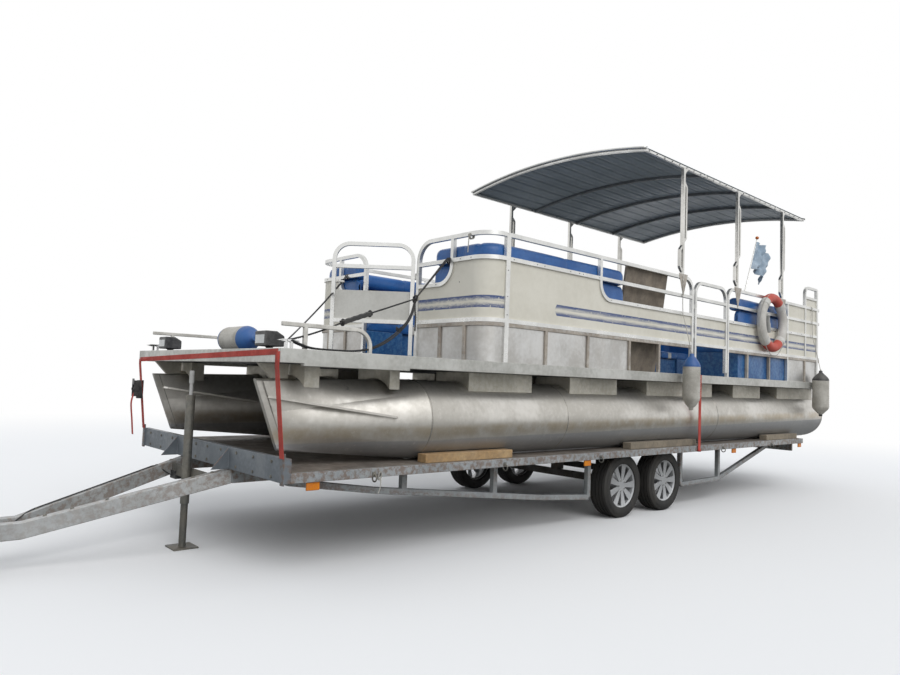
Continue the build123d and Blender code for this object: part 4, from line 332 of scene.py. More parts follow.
def hull_sheet():
    """Bare hull aluminium: rubbed and cloudy, tan above the waterline and grey below it."""
    hull = Finish("hull aluminium", (0.68, 0.66, 0.62), (0.5, 0.48, 0.44), (0.3, 0.46), 0.9, 1.6, (45, ALONG), 0.1,
                  (0.3, BARE), (0.2, GREY_DUST))
    tree = hull.tree
    level = sums(tree, "SUBTRACT", hull.axis("Z"), sums(tree, "MULTIPLY", hull.axis("Y"), 0.012))
    wavy = noise(tree, object_place(tree), 1.6, 3.0).outputs["Fac"]
    level = sums(tree, "ADD", level, sums(tree, "MULTIPLY", wavy, 0.02))
    below = ramp(tree, level, HULL_WATER + 0.045, HULL_WATER + 0.03)
    scum = hull.band(level, HULL_WATER + 0.035, HULL_WATER + 0.16, 0.05)
    clouds = ramp(tree, noise(tree, object_place(tree), 5.0, 6.0, 0.65).outputs["Fac"], 0.3, 0.62)
    hull.cover(sums(tree, "MULTIPLY", scum, sums(tree, "MULTIPLY", clouds, 0.75)), (0.42, 0.35, 0.25))
    hull.cover(sums(tree, "MULTIPLY", below, 0.75), (0.36, 0.37, 0.39))
    rubbed = ramp(tree, noise(tree, object_place(tree), 26.0, 8.0, 0.75).outputs["Fac"], 0.55, 0.68)
    hull.cover(sums(tree, "MULTIPLY", rubbed, 0.35), (0.75, 0.73, 0.69))
    dark = ramp(tree, noise(tree, object_place(tree), 9.0, 5.0, 0.7).outputs["Fac"], 0.66, 0.78)
    hull.cover(sums(tree, "MULTIPLY", dark, 0.6), (0.17, 0.16, 0.15))
    hull.roughen(below, 0.55)
    return hull.done(0.002)


def striped_panel():
    """Cream fence sheet with two blue bands that fade in slanting brush strokes."""
    panel = Finish("striped cream panel", (0.74, 0.71, 0.62), (0.66, 0.63, 0.54), (0.3, 0.48), 0.0, 1.4, (120, PLAIN),
                   0.03, None, (0.18, (0.5, 0.44, 0.34)))
    tree = panel.tree
    slant = add_node(tree, "CombineXYZ", {"X": panel.axis("X"), "Y": panel.axis("Y"), "Z": panel.axis("Z")})
    turned = add_node(tree, "Mapping", {"Vector": slant.outputs[0], "Rotation": (0.5, 0.0, 0.0), "Scale": (30, 4, 70)})
    strokes = noise(tree, turned.outputs["Vector"], 1.0, 4.0, 0.6).outputs["Fac"]
    height = sums(tree, "SUBTRACT", panel.axis("Z"), BED)
    upper = panel.band(height, 1.183, 1.226, 0.002)
    upper_fade = ramp(tree, sums(tree, "ADD", height, sums(tree, "MULTIPLY", strokes, 0.05)), 1.2, 1.245)
    lower = panel.band(height, 1.132, 1.172, 0.002)
    lower_fade = ramp(tree, sums(tree, "SUBTRACT", sums(tree, "MULTIPLY", strokes, 0.05), height), -1.155, -1.108)
    shown = sums(tree, "ADD", sums(tree, "MULTIPLY", upper, upper_fade), sums(tree, "MULTIPLY", lower, lower_fade))
    along = sums(tree, "SUBTRACT", panel.axis("Y"), BOW)
    apart = sums(tree, "ABSOLUTE", sums(tree, "SUBTRACT", height, 1.179), 0.0)
    tip = sums(tree, "SUBTRACT", along, sums(tree, "MULTIPLY", apart, 0.6))
    present = sums(tree, "MAXIMUM", ramp(tree, along, 1.862, 1.858), ramp(tree, tip, 2.44, 2.444))
    shown = sums(tree, "MULTIPLY", shown, present)
    worn = ramp(tree, noise(tree, object_place(tree), 60.0, 3.0).outputs["Fac"], 0.68, 0.62)
    panel.cover(sums(tree, "MULTIPLY", sums(tree, "MULTIPLY", shown, worn), 0.95), (0.012, 0.05, 0.19))
    return panel.done()


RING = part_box("life_ring")
RING_CENTRE = (RING[0] + RING[1]) / 2
RING_R = (RING[1].y - RING[0].y) / 2
RING_TUBE = (RING[1].x - RING[0].x) / 2

def ring_shell():
    """Life ring skin: white with faded red at the top and the bottom and a dark turn of tape."""
    ring = Finish("ring shell", (0.66, 0.64, 0.6), (0.52, 0.5, 0.46), (0.45, 0.7), 0.0, 6, (200, PLAIN), 0.3, None,
                  (0.35, GREY_DUST))
    tree = ring.tree
    height = sums(tree, "SUBTRACT", ring.axis("Z"), RING_CENTRE.z)
    along = sums(tree, "SUBTRACT", ring.axis("Y"), RING_CENTRE.y)
    turn = sums(tree, "ARCTAN2", height, along)
    for middle in (1.571, -1.571):
        ring.cover(ring.band(turn, middle - 0.62, middle + 0.62, 0.02), (0.5, 0.075, 0.05))
    ring.cover(ring.band(turn, 2.3, 2.44, 0.02), (0.02, 0.02, 0.02))
    return ring.done()


MATERIALS = {row[0]: finish(row[0]).done() for row in FINISHES}
MATERIALS["hull aluminium"] = hull_sheet()
MATERIALS["ring shell"] = ring_shell()
MATERIALS["striped cream panel"] = striped_panel()


# Shaping
def finished(mesh_or_bm, name, body, *slots, angle=35, bevel=0.0, thick=0.0, rounds=0):
    """Make an object of a mesh, with its finish, its soft edges and the body that it rides on."""
    if isinstance(mesh_or_bm, bmesh.types.BMesh):
        mesh = bpy.data.meshes.new(name)
        mesh_or_bm.to_mesh(mesh)
        mesh_or_bm.free()
    else:
        mesh = mesh_or_bm
    piece = bpy.data.objects.new(name, mesh)
    bpy.context.scene.collection.objects.link(piece)
    for slot in slots:
        mesh.materials.append(MATERIALS[slot])
    mesh.polygons.foreach_set("use_smooth", [True] * len(mesh.polygons))
    mesh.set_sharp_from_angle(angle=math.radians(angle))
    if thick:
        wall = piece.modifiers.new("wall", "SOLIDIFY")
        wall.thickness = thick
        wall.offset = 0.0
    if rounds:
        soft = piece.modifiers.new("soft", "SUBSURF")
        soft.levels = rounds
        soft.render_levels = rounds
    if bevel:
        edge = piece.modifiers.new("edge", "BEVEL")
        edge.width = bevel
        edge.segments = 2
        edge.limit_method = "ANGLE"
        edge.angle_limit = math.radians(40)
        edge.harden_normals = True
    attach(piece, body)
    return piece


def copied(node):
    """A merged copy of a CAD node's mesh."""
    bm = bmesh.new()
    bm.from_mesh(nodes[node].data)
    bmesh.ops.remove_doubles(bm, verts=bm.verts, dist=0.00002)
    bmesh.ops.dissolve_limit(bm, angle_limit=math.radians(0.4), verts=bm.verts, edges=bm.edges, delimit={"NORMAL"})
    return bm


def dressed(node, slot, bevel=0.002):
    piece = finished(copied(node), node + "_finished", BODY_OF[node], slot, bevel=bevel)
    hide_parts(node)
    return piece


DRESSED = (
    # node, finish, edge
    ("deck_risers", "riser plate", 0.003),
    ("deck_rails", "deck rail", 0.004),
    ("deck_cross_beams", "deck beam", 0.003),
    ("deck_floor", "deck carpet", 0.004),
    ("fence_rails_bow", "fence tube", 0.0035),
    ("fence_rails_stern", "fence tube", 0.0035),
    ("fence_rails_port", "fence tube", 0.0035),
    ("fence_rails_starboard", "fence tube", 0.0035),
    ("fence_lower_frame", "beige channel", 0.003),
    ("fence_panels", "striped cream panel", 0.0006),
    ("fence_lower_panels", "mill panel", 0.0006),
    ("bow_gate_frame", "fence tube", 0.0035),
    ("side_gate_frame", "fence tube", 0.0035),
    ("bow_gate_panel", "console shell", 0.001),
    ("side_gate_panel", "striped cream panel", 0.0006),
    ("deck_hoops", "white hoop", 0.005),
    ("docking_lamps", "black plastic", 0.008),
    ("cleats", "bright chrome", 0.004),
    ("lounge_bases", "blue locker", 0.015),
    ("helm_console", "console shell", 0.02),
    ("steering_wheel", "black plastic", 0.003),
    ("trailer_bed_frame", "trailer paint", 0.004),
    ("trailer_bed_floor", "bed board", 0.002),
    ("trailer_main_beams", "trailer paint", 0.005),
    ("drawbar_beams", "drawbar paint", 0.006),
    ("headboard", "headboard paint", 0.004),
    ("truss_chords", "trailer paint", 0.005),
    ("axles", "axle steel", 0.004),
    ("jack_leg", "jack steel", 0.002),
    ("ball_coupling", "jack steel", 0.004),
    ("marker_lamps", "amber lens", 0.005),
    ("rear_light_board", "trailer paint", 0.006),
    ("motor_bracket", "motor casting", 0.004),
    ("motor_swivel", "motor casting", 0.003),
    ("outboard_cowl", "motor paint", 0.02),
    ("outboard_leg", "motor casting", 0.006),
    ("outboard_propeller", "motor casting", 0.002),
    ("table_board", "fibre board", 0.003),
)
for node, slot, bevel in DRESSED:
    dressed(node, slot, bevel)
for node in ("pontoon_port", "pontoon_starboard"):
    nodes[node].data.materials.clear()
    nodes[node].data.materials.append(MATERIALS["hull aluminium"])


# Shaping helpers
def add_block(bm, low, high):
    low, high = Vector(low), Vector(high)
    size = high - low
    place = Matrix.Translation((low + high) / 2) @ Matrix.Diagonal((*size, 1))
    return bmesh.ops.create_cube(bm, size=1, matrix=place)["verts"]


def add_rod(bm, start, end, radius, radius_end=None, sides=16):
    """A round rod or cone between two points."""
    start, end = Vector(start), Vector(end)
    turn = (end - start).to_track_quat("Z", "Y").to_matrix().to_4x4()
    place = Matrix.Translation((start + end) / 2) @ turn
    ends = (radius, radius if radius_end is None else radius_end)
    return bmesh.ops.create_cone(
        bm, cap_ends=True, segments=sides, radius1=ends[0], radius2=ends[1],
        depth=(end - start).length, matrix=place,
    )["verts"]


def add_ball(bm, centre, radius, scale=(1, 1, 1), sides=16):
    place = Matrix.Translation(centre) @ Matrix.Diagonal((*scale, 1))
    return bmesh.ops.create_uvsphere(bm, u_segments=sides, v_segments=sides // 2, radius=radius, matrix=place)["verts"]


def merged_in(bm, own):
    """Add a form made in a mesh of its own, and give its vertices."""
    carrier = bpy.data.meshes.new("own")
    own.to_mesh(carrier)
    own.free()
    count = len(bm.verts)
    bm.from_mesh(carrier)
    bpy.data.meshes.remove(carrier)
    bm.verts.ensure_lookup_table()
    return bm.verts[count:]


def add_lathed(target, profile, centre, axis, steps=48, closed=False):
    """A solid of revolution; the profile is (radius, distance along the axis)."""
    bm = bmesh.new()
    axis = Vector(axis).normalized()
    out = axis.orthogonal().normalized()
    verts = [bm.verts.new(Vector(centre) + out * radius + axis * along) for radius, along in profile]
    pairs = list(zip(verts, verts[1:]))
    if closed:
        pairs.append((verts[-1], verts[0]))
    edges = [bm.edges.new(pair) for pair in pairs]
    bmesh.ops.spin(
        bm, geom=verts + edges, cent=centre, axis=axis, angle=math.tau, steps=steps, use_merge=True
    )
    bmesh.ops.remove_doubles(bm, verts=bm.verts, dist=0.00005)
    bmesh.ops.recalc_face_normals(bm, faces=bm.faces)
    return merged_in(target, bm)


def add_screws(bm, places, out, radius=0.005):
    """Domed screw heads that stand on a face with the given outward direction."""
    out = Vector(out).normalized()
    for place in places:
        place = Vector(place)
        add_rod(bm, place - out * 0.001, place + out * radius * 0.35, radius, radius * 0.9, 10)
        add_rod(bm, place + out * radius * 0.35, place + out * radius * 0.6, radius * 0.9, radius * 0.35, 10)


def add_bolts(bm, places, out, radius=0.012):
    """Hexagon heads on washers."""
    out = Vector(out).normalized()
    for place in places:
        place = Vector(place)
        add_rod(bm, place - out * 0.001, place + out * 0.0025, radius * 1.35, None, 20)
        add_rod(bm, place + out * 0.0025, place + out * radius * 0.75, radius, radius * 0.96, 6)


def rounded_route(points, radius, step=15):
    """The points of a route whose corners are arcs of one radius."""
    points = [Vector(point) for point in points]
    route = [points[0]]
    for before, corner, after in zip(points, points[1:], points[2:]):
        into = (before - corner).normalized()
        out = (after - corner).normalized()
        half = into.angle(out) / 2
        reach = radius / math.tan(half)
        centre = corner + (into + out).normalized() * (radius / math.sin(half))
        start = corner + into * reach - centre
        finish = corner + out * reach - centre
        count = max(2, round(math.degrees(start.angle(finish)) / step))
        axis = start.cross(finish).normalized()
        turn = start.angle(finish)
        for index in range(count + 1):
            route.append(centre + Matrix.Rotation(turn * index / count, 3, axis) @ start)
    route.append(points[-1])
    return route


def bend_along(verts, route, up=None):
    """Lay a straight form, built along z from 0, on a route of points."""
    lengths = [0.0]
    for a, b in zip(route, route[1:]):
        lengths.append(lengths[-1] + (b - a).length)
    tangents = [(b - a).normalized() for a, b in zip(route, route[1:])]
    ways = [tangents[0]] + [(a + b).normalized() for a, b in zip(tangents, tangents[1:])] + [tangents[-1]]
    sides = [ways[0].orthogonal().normalized()]
    for way in ways[1:]:
        sides.append((sides[-1] - way * sides[-1].dot(way)).normalized())
    for vert in verts:
        along = min(max(vert.co.z, 0.0), lengths[-1])
        index = 0
        low, high = 0, len(lengths) - 1
        while high - low > 1:
            middle = (low + high) // 2
            low, high = (middle, high) if lengths[middle] <= along else (low, middle)
        index = low
        share = (along - lengths[index]) / max(lengths[index + 1] - lengths[index], 1e-9)
        centre = route[index].lerp(route[index + 1], share)
        way = ways[index].lerp(ways[index + 1], share).normalized()
        if up:
            side = way.cross(Vector(up)).normalized()
            top = side.cross(way)
        else:
            side = sides[index].lerp(sides[index + 1], share).normalized()
            top = way.cross(side).normalized()
        vert.co = centre + side * vert.co.x + top * vert.co.y + way * (vert.co.z - along)


def route_length(route):
    return sum((b - a).length for a, b in zip(route, route[1:]))


def add_tube(target, route, radius, sides=10, step=0.02, up=None):
    """A round tube or bead along a route."""
    bm = bmesh.new()
    length = route_length(route)
    count = max(1, round(length / step))
    ring = bmesh.ops.create_circle(bm, segments=sides, radius=radius, cap_ends=True)["verts"]
    faces = list({face for vert in ring for face in vert.link_faces})
    bmesh.ops.spin(
        bm, geom=faces, cent=(0, 0, 0), axis=(0, 0, 1), dvec=(0, 0, length / count), angle=0, steps=count
    )
    bend_along(bm.verts, route, up)
    bmesh.ops.recalc_face_normals(bm, faces=bm.faces)
    return merged_in(target, bm)


def add_rope(target, route, radius, pitch=0.045, sides=6):
    """A rope of three strands laid round each other, along a route."""
    length = route_length(route)
    turns = length / pitch
    count = max(2, round(turns * 8))
    for strand in range(3):
        bm = bmesh.new()
        place = Matrix.Rotation(math.tau * strand / 3, 4, "Z") @ Matrix.Translation((radius * 0.5, 0, 0))
        ring = bmesh.ops.create_circle(bm, segments=sides, radius=radius * 0.52, matrix=place, cap_ends=True)
        faces = list({face for vert in ring["verts"] for face in vert.link_faces})
        bmesh.ops.spin(
            bm, geom=faces, cent=(0, 0, 0), axis=(0, 0, 1), dvec=(0, 0, length / count),
            angle=turns * math.tau, steps=count,
        )
        bend_along(bm.verts, route)
        bmesh.ops.recalc_face_normals(bm, faces=bm.faces)
        merged_in(target, bm)


def smooth_line(points, count=8):
    """Points along a smooth line through given points."""
    curve = bpy.data.curves.new("line", "CURVE")
    curve.dimensions = "3D"
    spline = curve.splines.new("NURBS")
    spline.points.add(len(points) - 1)
    for target, point in zip(spline.points, points):
        target.co = (*point, 1)
    spline.order_u = 3
    spline.use_endpoint_u = True
    spline.resolution_u = count
    carrier = bpy.data.objects.new("line", curve)
    bpy.context.scene.collection.objects.link(carrier)
    bpy.context.view_layer.update()
    mesh = bpy.data.meshes.new_from_object(carrier)
    line = [vert.co.copy() for vert in mesh.vertices]
    bpy.data.objects.remove(carrier)
    bpy.data.curves.remove(curve)
    bpy.data.meshes.remove(mesh)
    return line


# Lounges: rolls, back sheets and seat cushions of blue vinyl
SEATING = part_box("lounge_seats")
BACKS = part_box("lounge_backs")
BACK_TOP = BACKS[1].z - DECK
BACK_OUTER = BACKS[1].x
ROLL_HIGH = 0.15
ROLL_WIDE = 0.13
SHEET_WIDE = 0.055
SEAT_LOW = SEATING[0].z - DECK
SEAT_TOP = SEATING[1].z - DECK
LOUNGES = (
    # name, side, y at the end face, y where it stops, inner x
    ("port_forward", 1, 1.692, 3.44, 0.56),
    ("starboard_forward", -1, 1.692, 3.44, 0.56),
    ("port_aft", 1, 8.063, 5.7, 0.62),
    ("starboard_aft", -1, 8.063, 6.65, 0.62),
)


def padded_roll(name, route, wide, high, seams, power, slots=("blue vinyl",)):
    """A stuffed vinyl form along a route, drawn in at its sewn joins and creased beside them."""
    length = route_length(route)
    count = round(length / 0.014)
    bm = bmesh.new()
    ring = bmesh.ops.create_circle(bm, segments=44, radius=1.0, cap_ends=True)["verts"]
    faces = list({face for vert in ring for face in vert.link_faces})
    bmesh.ops.spin(
        bm, geom=faces, cent=(0, 0, 0), axis=(0, 0, 1), dvec=(0, 0, length / count), angle=0, steps=count
    )
    for vert in bm.verts:
        turn = math.atan2(vert.co.y, vert.co.x)
        z = vert.co.z
        apart = min([abs(z - seam) for seam in seams] + [length])
        tip = min(z, length - z)
        swell = 1 - 0.1 * math.exp(-((apart / 0.012) ** 2)) - 0.03 * math.exp(-apart / 0.06)
        swell *= 1 - 0.14 * math.exp(-((tip / 0.016) ** 2))
        ripple = math.sin(turn * 11 + z * 9) * math.sin(turn * 4 + z * 3) * math.exp(-apart / 0.05) * 0.02
        slack = 0.012 * math.sin(z * 5.1 + turn * 2) * math.sin(z * 2.3)
        reach = (abs(math.cos(turn)) ** power + abs(math.sin(turn)) ** power) ** (-1 / power)
        size = reach * (swell + ripple + slack - 0.015)
        vert.co.x = math.cos(turn) * size * wide / 2
        vert.co.y = math.sin(turn) * size * high / 2
    bend_along(bm.verts, route, up=(0, 0, 1))
    bmesh.ops.recalc_face_normals(bm, faces=bm.faces)
    for face in [face for face in bm.faces if len(face.verts) > 4]:
        bmesh.ops.inset_region(bm, faces=[face], thickness=0.02, depth=0.004)
    piece = finished(bm, name, "boat_and_trailer", *slots, angle=60)
    return piece


def crowned_pad(name, low, high, crown=0.018, radius=0.03, slots=("blue vinyl",), bands=()):
    """A seat cushion: crowned top, sides that pull in between the corners and a flat underside."""
    low, high = Vector(low), Vector(high)
    size = high - low
    bm = bmesh.new()
    add_block(bm, low, high)
    for axis in range(3):
        edges = [edge for edge in bm.edges if abs((edge.verts[0].co - edge.verts[1].co)[axis]) > 0.004]
        cuts = max(2, min(40, int(size[axis] / 0.03)))
        bmesh.ops.subdivide_edges(bm, edges=edges, cuts=cuts, use_grid_fill=True)
    middle = (low + high) / 2
    for vert in bm.verts:
        u, v, w = ((vert.co[axis] - middle[axis]) / (size[axis] / 2) for axis in range(3))
        full = (1 - abs(u) ** 6) * (1 - abs(v) ** 6)
        if w > 0.99:
            vert.co.z += crown * (full - 0.7) + 0.0025 * math.sin(vert.co.x * 31) * math.sin(vert.co.y * 23)
        side = 1 - w * w
        pull = 0.006 + 0.004 * math.sin(vert.co.x * 17 + vert.co.y * 13)
        if abs(u) > 0.99:
            vert.co.x -= math.copysign(radius * 0.35 * abs(v) ** 8 + pull * (1 - abs(v) ** 4) - 0.006 * side, u)
        if abs(v) > 0.99:
            vert.co.y -= math.copysign(radius * 0.35 * abs(u) ** 8 + pull * (1 - abs(u) ** 4) - 0.006 * side, v)
    for face in bm.faces:
        y = face.calc_center_median().y
        face.material_index = 1 if any(start < y < end for start, end in bands) else 0
    corners = [edge for edge in bm.edges if edge.is_manifold and edge.calc_face_angle() > 0.9]
    bmesh.ops.bevel(
        bm, geom=corners, offset=0.014, offset_type="OFFSET", segments=4, profile=0.5, affect="EDGES", material=-1
    )
    piece = finished(bm, name, "boat_and_trailer", *slots, angle=60)
    return piece


def add_welt(bm, low, high, top, radius=0.0045, corner=0.035):
    """Piping round a cushion's upper edge."""
    (x0, y0), (x1, y1) = low, high
    middle = (x0 + x1) / 2
    route = rounded_route(
        [(middle, y0, top), (x1, y0, top), (x1, y1, top), (x0, y1, top), (x0, y0, top), (middle, y0, top)],
        corner,
    )
    add_tube(bm, route, radius, 8, 0.03)


def lounges():
    welts = bmesh.new()
    for name, side, end_y, stop_y, inner_x in LOUNGES:
        aft = 1 if stop_y > end_y else -1
        for part, wide, low, high, power, radius in (
            ("roll", ROLL_WIDE, BACK_TOP - ROLL_HIGH, BACK_TOP, 2.7, 0.1),
            ("back", SHEET_WIDE, SEAT_LOW, BACK_TOP - ROLL_HIGH - 0.001, 7.0, 0.137),
        ):
            centre = BACK_OUTER - wide / 2
            y = end_y + aft * wide / 2
            height = (low + high) / 2
            route = rounded_route(
                [spot(side * inner_x, y, height), spot(side * centre, y, height), spot(side * centre, stop_y, height)],
                radius,
            )
            length = route_length(route)
            corner = abs(centre - inner_x) + 0.02
            count = max(1, round((length - corner) / 0.85))
            seams = [corner - 0.24, corner - 0.1]
            seams += [corner + (length - corner) * index / count for index in range(1, count)]
            piece = padded_roll(f"{name}_{part}", route, wide, high - low, seams, power)
        near = end_y + aft * (ROLL_WIDE + 0.004)
        turn_y = end_y + aft * 0.56
        long_start = turn_y + aft * 0.004
        middle_y = (long_start + stop_y) / 2
        outer = BACK_OUTER - ROLL_WIDE - 0.004
        pads = (
            ("end", inner_x, near, turn_y),
            ("first", BACK_OUTER - 0.56, long_start, middle_y - aft * 0.004),
            ("second", BACK_OUTER - 0.56, middle_y, stop_y),
        )
        for part, inner, first, last in pads:
            xs = sorted((side * inner, side * outer))
            ys = sorted((first, last))
            bands = ()
            if part != "end":
                bands = [(BOW + ys[0] + at, BOW + ys[0] + at + 0.07) for at in (0.16, ys[1] - ys[0] - 0.24)]
            low = spot(xs[0], ys[0], SEAT_LOW)
            high = spot(xs[1], ys[1], SEAT_TOP)
            crowned_pad(f"{name}_seat_{part}", low, high, slots=("blue vinyl", "white vinyl"), bands=bands)
            add_welt(welts, (low.x + 0.006, low.y + 0.006), (high.x - 0.006, high.y - 0.006), high.z - 0.012)
    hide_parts("lounge_backs")
    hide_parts("lounge_seats")
    finished(welts, "seat_welts", "boat_and_trailer", "blue vinyl", angle=60)


# Vents on the locker bases
def base_fittings():
    bm = bmesh.new()
    for side in (1, -1):
        for along in (2.13, 2.95):
            place = spot(side * (BACK_OUTER - 0.52), along, 0.15)
            out = Vector((-side, 0, 0))
            add_lathed(
                bm, [(0.0, 0.004), (0.05, 0.004), (0.058, 0.009), (0.066, 0.006), (0.068, 0.0), (0.0, 0.0)],
                place, out, 40,
            )
            for index in range(7):
                height = (index - 3) * 0.0135
                half = math.sqrt(0.048**2 - height**2)
                add_block(
                    bm, place + Vector((-side * 0.004 - 0.0045, -half, height - 0.002)),
                    place + Vector((-side * 0.004 + 0.0045, half, height + 0.003)),
                )
    finished(bm, "base_vents", "boat_and_trailer", "black plastic", angle=40, bevel=0.0008)


# Canopy: a ribbed sheet over arches, with pale edge strips and dark screws
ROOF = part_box("roof_sheet")
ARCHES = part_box("roof_frame")
ROOF_HALF = ROOF[1].x
CROWN = 0.122
ROOF_EDGE = ARCHES[1].z - CROWN
ARC = (ROOF_HALF**2 + CROWN**2) / (2 * CROWN)
ARC_CENTRE = ROOF_EDGE + CROWN - ARC
ARC_HALF = math.asin(ROOF_HALF / ARC)
RIBS = 15
RIB_HEIGHT = 0.012
SHEET = 0.0012


def arc_point(turn, lift, y):
    return Vector(((ARC + lift) * math.sin(turn), y, ARC_CENTRE + (ARC + lift) * math.cos(turn)))


def rib_turns():
    return [(index / (RIBS - 1) - 0.5) * 2 * ARC_HALF * 0.97 for index in range(RIBS)]


def roof_sheet():
    bm = bmesh.new()
    line = [(-ARC_HALF, 0.0)]
    foot, top = 0.015 / ARC, 0.0095 / ARC
    turns = rib_turns()
    for index, turn in enumerate(turns):
        for at, lift in ((-foot, 0.0), (-top, RIB_HEIGHT), (top, RIB_HEIGHT), (foot, 0.0)):
            if -ARC_HALF < turn + at < ARC_HALF:
                line.append((turn + at, lift))
        if index < RIBS - 1:
            pan = turns[index + 1] - turn
            for share in (0.3, 0.34, 0.66, 0.7):
                line.append((turn + pan * share, 0.003 if share in (0.34, 0.66) else 0.0))
    line.append((ARC_HALF, 0.0))
    verts = [bm.verts.new(arc_point(turn, lift + 0.001, ROOF[0].y)) for turn, lift in line]
    edges = [bm.edges.new(pair) for pair in zip(verts, verts[1:])]
    made = bmesh.ops.extrude_edge_only(bm, edges=edges)["geom"]
    ends = [item for item in made if isinstance(item, bmesh.types.BMVert)]
    bmesh.ops.translate(bm, verts=ends, vec=(0, ROOF[1].y - ROOF[0].y, 0))
    bmesh.ops.recalc_face_normals(bm, faces=bm.faces)
    piece = finished(bm, "roof_ribbed_sheet", "boat_and_trailer", "canopy underside", angle=20, thick=SHEET)
    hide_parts("roof_sheet")


def roof_strips():
    """Folded strips along the front and the rear of the sheet, and screws along the ends and the sides."""
    bm = bmesh.new()
    for y0, y1 in ((ROOF[0].y, ROOF[0].y + 0.03), (ROOF[1].y - 0.03, ROOF[1].y)):
        steps = 32
        for lift, depth in ((0.0135, 0.0015), (-0.0, 0.0)):
            if not depth:
                continue
            verts = [bm.verts.new(arc_point((i / steps - 0.5) * 2 * ARC_HALF, lift, y0)) for i in range(steps + 1)]
            edges = [bm.edges.new(pair) for pair in zip(verts, verts[1:])]
            made = bmesh.ops.extrude_edge_only(bm, edges=edges)["geom"]
            ends = [item for item in made if isinstance(item, bmesh.types.BMVert)]
            bmesh.ops.translate(bm, verts=ends, vec=(0, y1 - y0, 0))
            lips = [edge for edge in bm.edges if edge.is_boundary and all(
                abs(vert.co.y - (y0 if y0 == ROOF[0].y else y1)) < 1e-6 for vert in edge.verts)]
            made = bmesh.ops.extrude_edge_only(bm, edges=lips)["geom"]
            drops = [item for item in made if isinstance(item, bmesh.types.BMVert)]
            bmesh.ops.translate(bm, verts=drops, vec=(0, 0, -0.02))
    bmesh.ops.recalc_face_normals(bm, faces=bm.faces)
    finished(bm, "roof_end_strips", "boat_and_trailer", "fence tube", angle=30, thick=0.0012)
    bm = bmesh.new()
    for turn in rib_turns():
        for offset in (-0.022, 0.022):
            at = turn + offset / ARC
            if abs(at) < ARC_HALF - 0.004:
                for y in (ROOF[0].y + 0.015, ROOF[1].y - 0.015):
                    lean = Vector((math.sin(at), 0, math.cos(at)))
                    add_screws(bm, [arc_point(at, 0.0145, y)], lean, 0.006)
    for side in (1, -1):
        count = 26
        places = [
            Vector((side * (ARCHES[1].x - 0.0), ROOF[0].y + 0.06 + (ROOF[1].y - ROOF[0].y - 0.12) * i / count,
                    ROOF_EDGE - 0.018))
            for i in range(count + 1)
        ]
        add_screws(bm, places, (side, 0, 0), 0.006)
    finished(bm, "roof_screws", "boat_and_trailer", "black plastic", angle=60)


def roof_frame():
    bm = copied("roof_frame")
    front = ARCHES[0].y + 0.045
    for face in bm.faces:
        place = face.calc_center_median()
        pale = place.y < front or place.y > ARCHES[1].y - 0.045 or abs(place.x) > ARCHES[1].x - 0.045
        face.material_index = 0 if pale else 1
    piece = finished(
        bm, "roof_frame_finished", "boat_and_trailer", "fence tube", "canopy tube", bevel=0.003
    )
    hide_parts("roof_frame")
    bolts = bmesh.new()
    for y in (4.86, 5.74, 6.6):
        for index in range(33):
            turn = (index / 32 - 0.5) * 1.92 * ARC_HALF
            lean = -Vector((math.sin(turn), 0, math.cos(turn)))
            place = arc_point(turn, -0.03, BOW + y)
            add_screws(bolts, [place], lean, 0.0045)
    finished(bolts, "arch_screws", "boat_and_trailer", "black plastic", angle=60)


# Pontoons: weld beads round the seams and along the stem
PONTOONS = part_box("pontoon_port")
HULL_X = (PONTOONS[0].x + PONTOONS[1].x) / 2
HULL_R = (PONTOONS[1].x - PONTOONS[0].x) / 2
HULL_Z = PONTOONS[1].z - HULL_R


def weld_seams():
    for side, name in ((1, "port"), (-1, "starboard")):
        bm = bmesh.new()
        for along in (1.205, 2.69, 5.26, 8.15):
            centre = Vector((side * HULL_X, BOW + along, HULL_Z))
            bead = [
                (HULL_R - 0.001 + 0.0035 * math.sin(math.tau * i / 8), 0.007 * math.cos(math.tau * i / 8))
                for i in range(8)
            ]
            made = add_lathed(bm, bead, centre, (0, 1, 0), 160, closed=True)
            for vert in made:
                turn = math.atan2(vert.co.z - HULL_Z, vert.co.x - centre.x)
                out = Vector((math.cos(turn), 0, math.sin(turn)))
                vert.co += out * (0.0012 * math.sin(turn * 150) + 0.0005 * math.sin(turn * 37))
        stem_top = Vector((side * HULL_X, BOW + 0.006, HULL_Z + 0.254))
        stem_foot = Vector((side * HULL_X, BOW + 0.177, HULL_Z - 0.19))
        for lean in (1, -1):
            shift = Vector((lean * 0.0275, 0.042, 0))
            add_tube(bm, [stem_top + shift + Vector((0, 0.002, -0.012)), stem_foot + shift], 0.0028, 8, 0.02)
        finished(bm, f"weld_seams_{name}", "boat_and_trailer", "weld bead", angle=60)


# Small fittings of the fence
FENCE_SCREW_YS = (1.93, 2.2, 2.29, 2.62, 2.74, 2.79, 3.02, 3.2, 3.62, 4.0, 4.42)


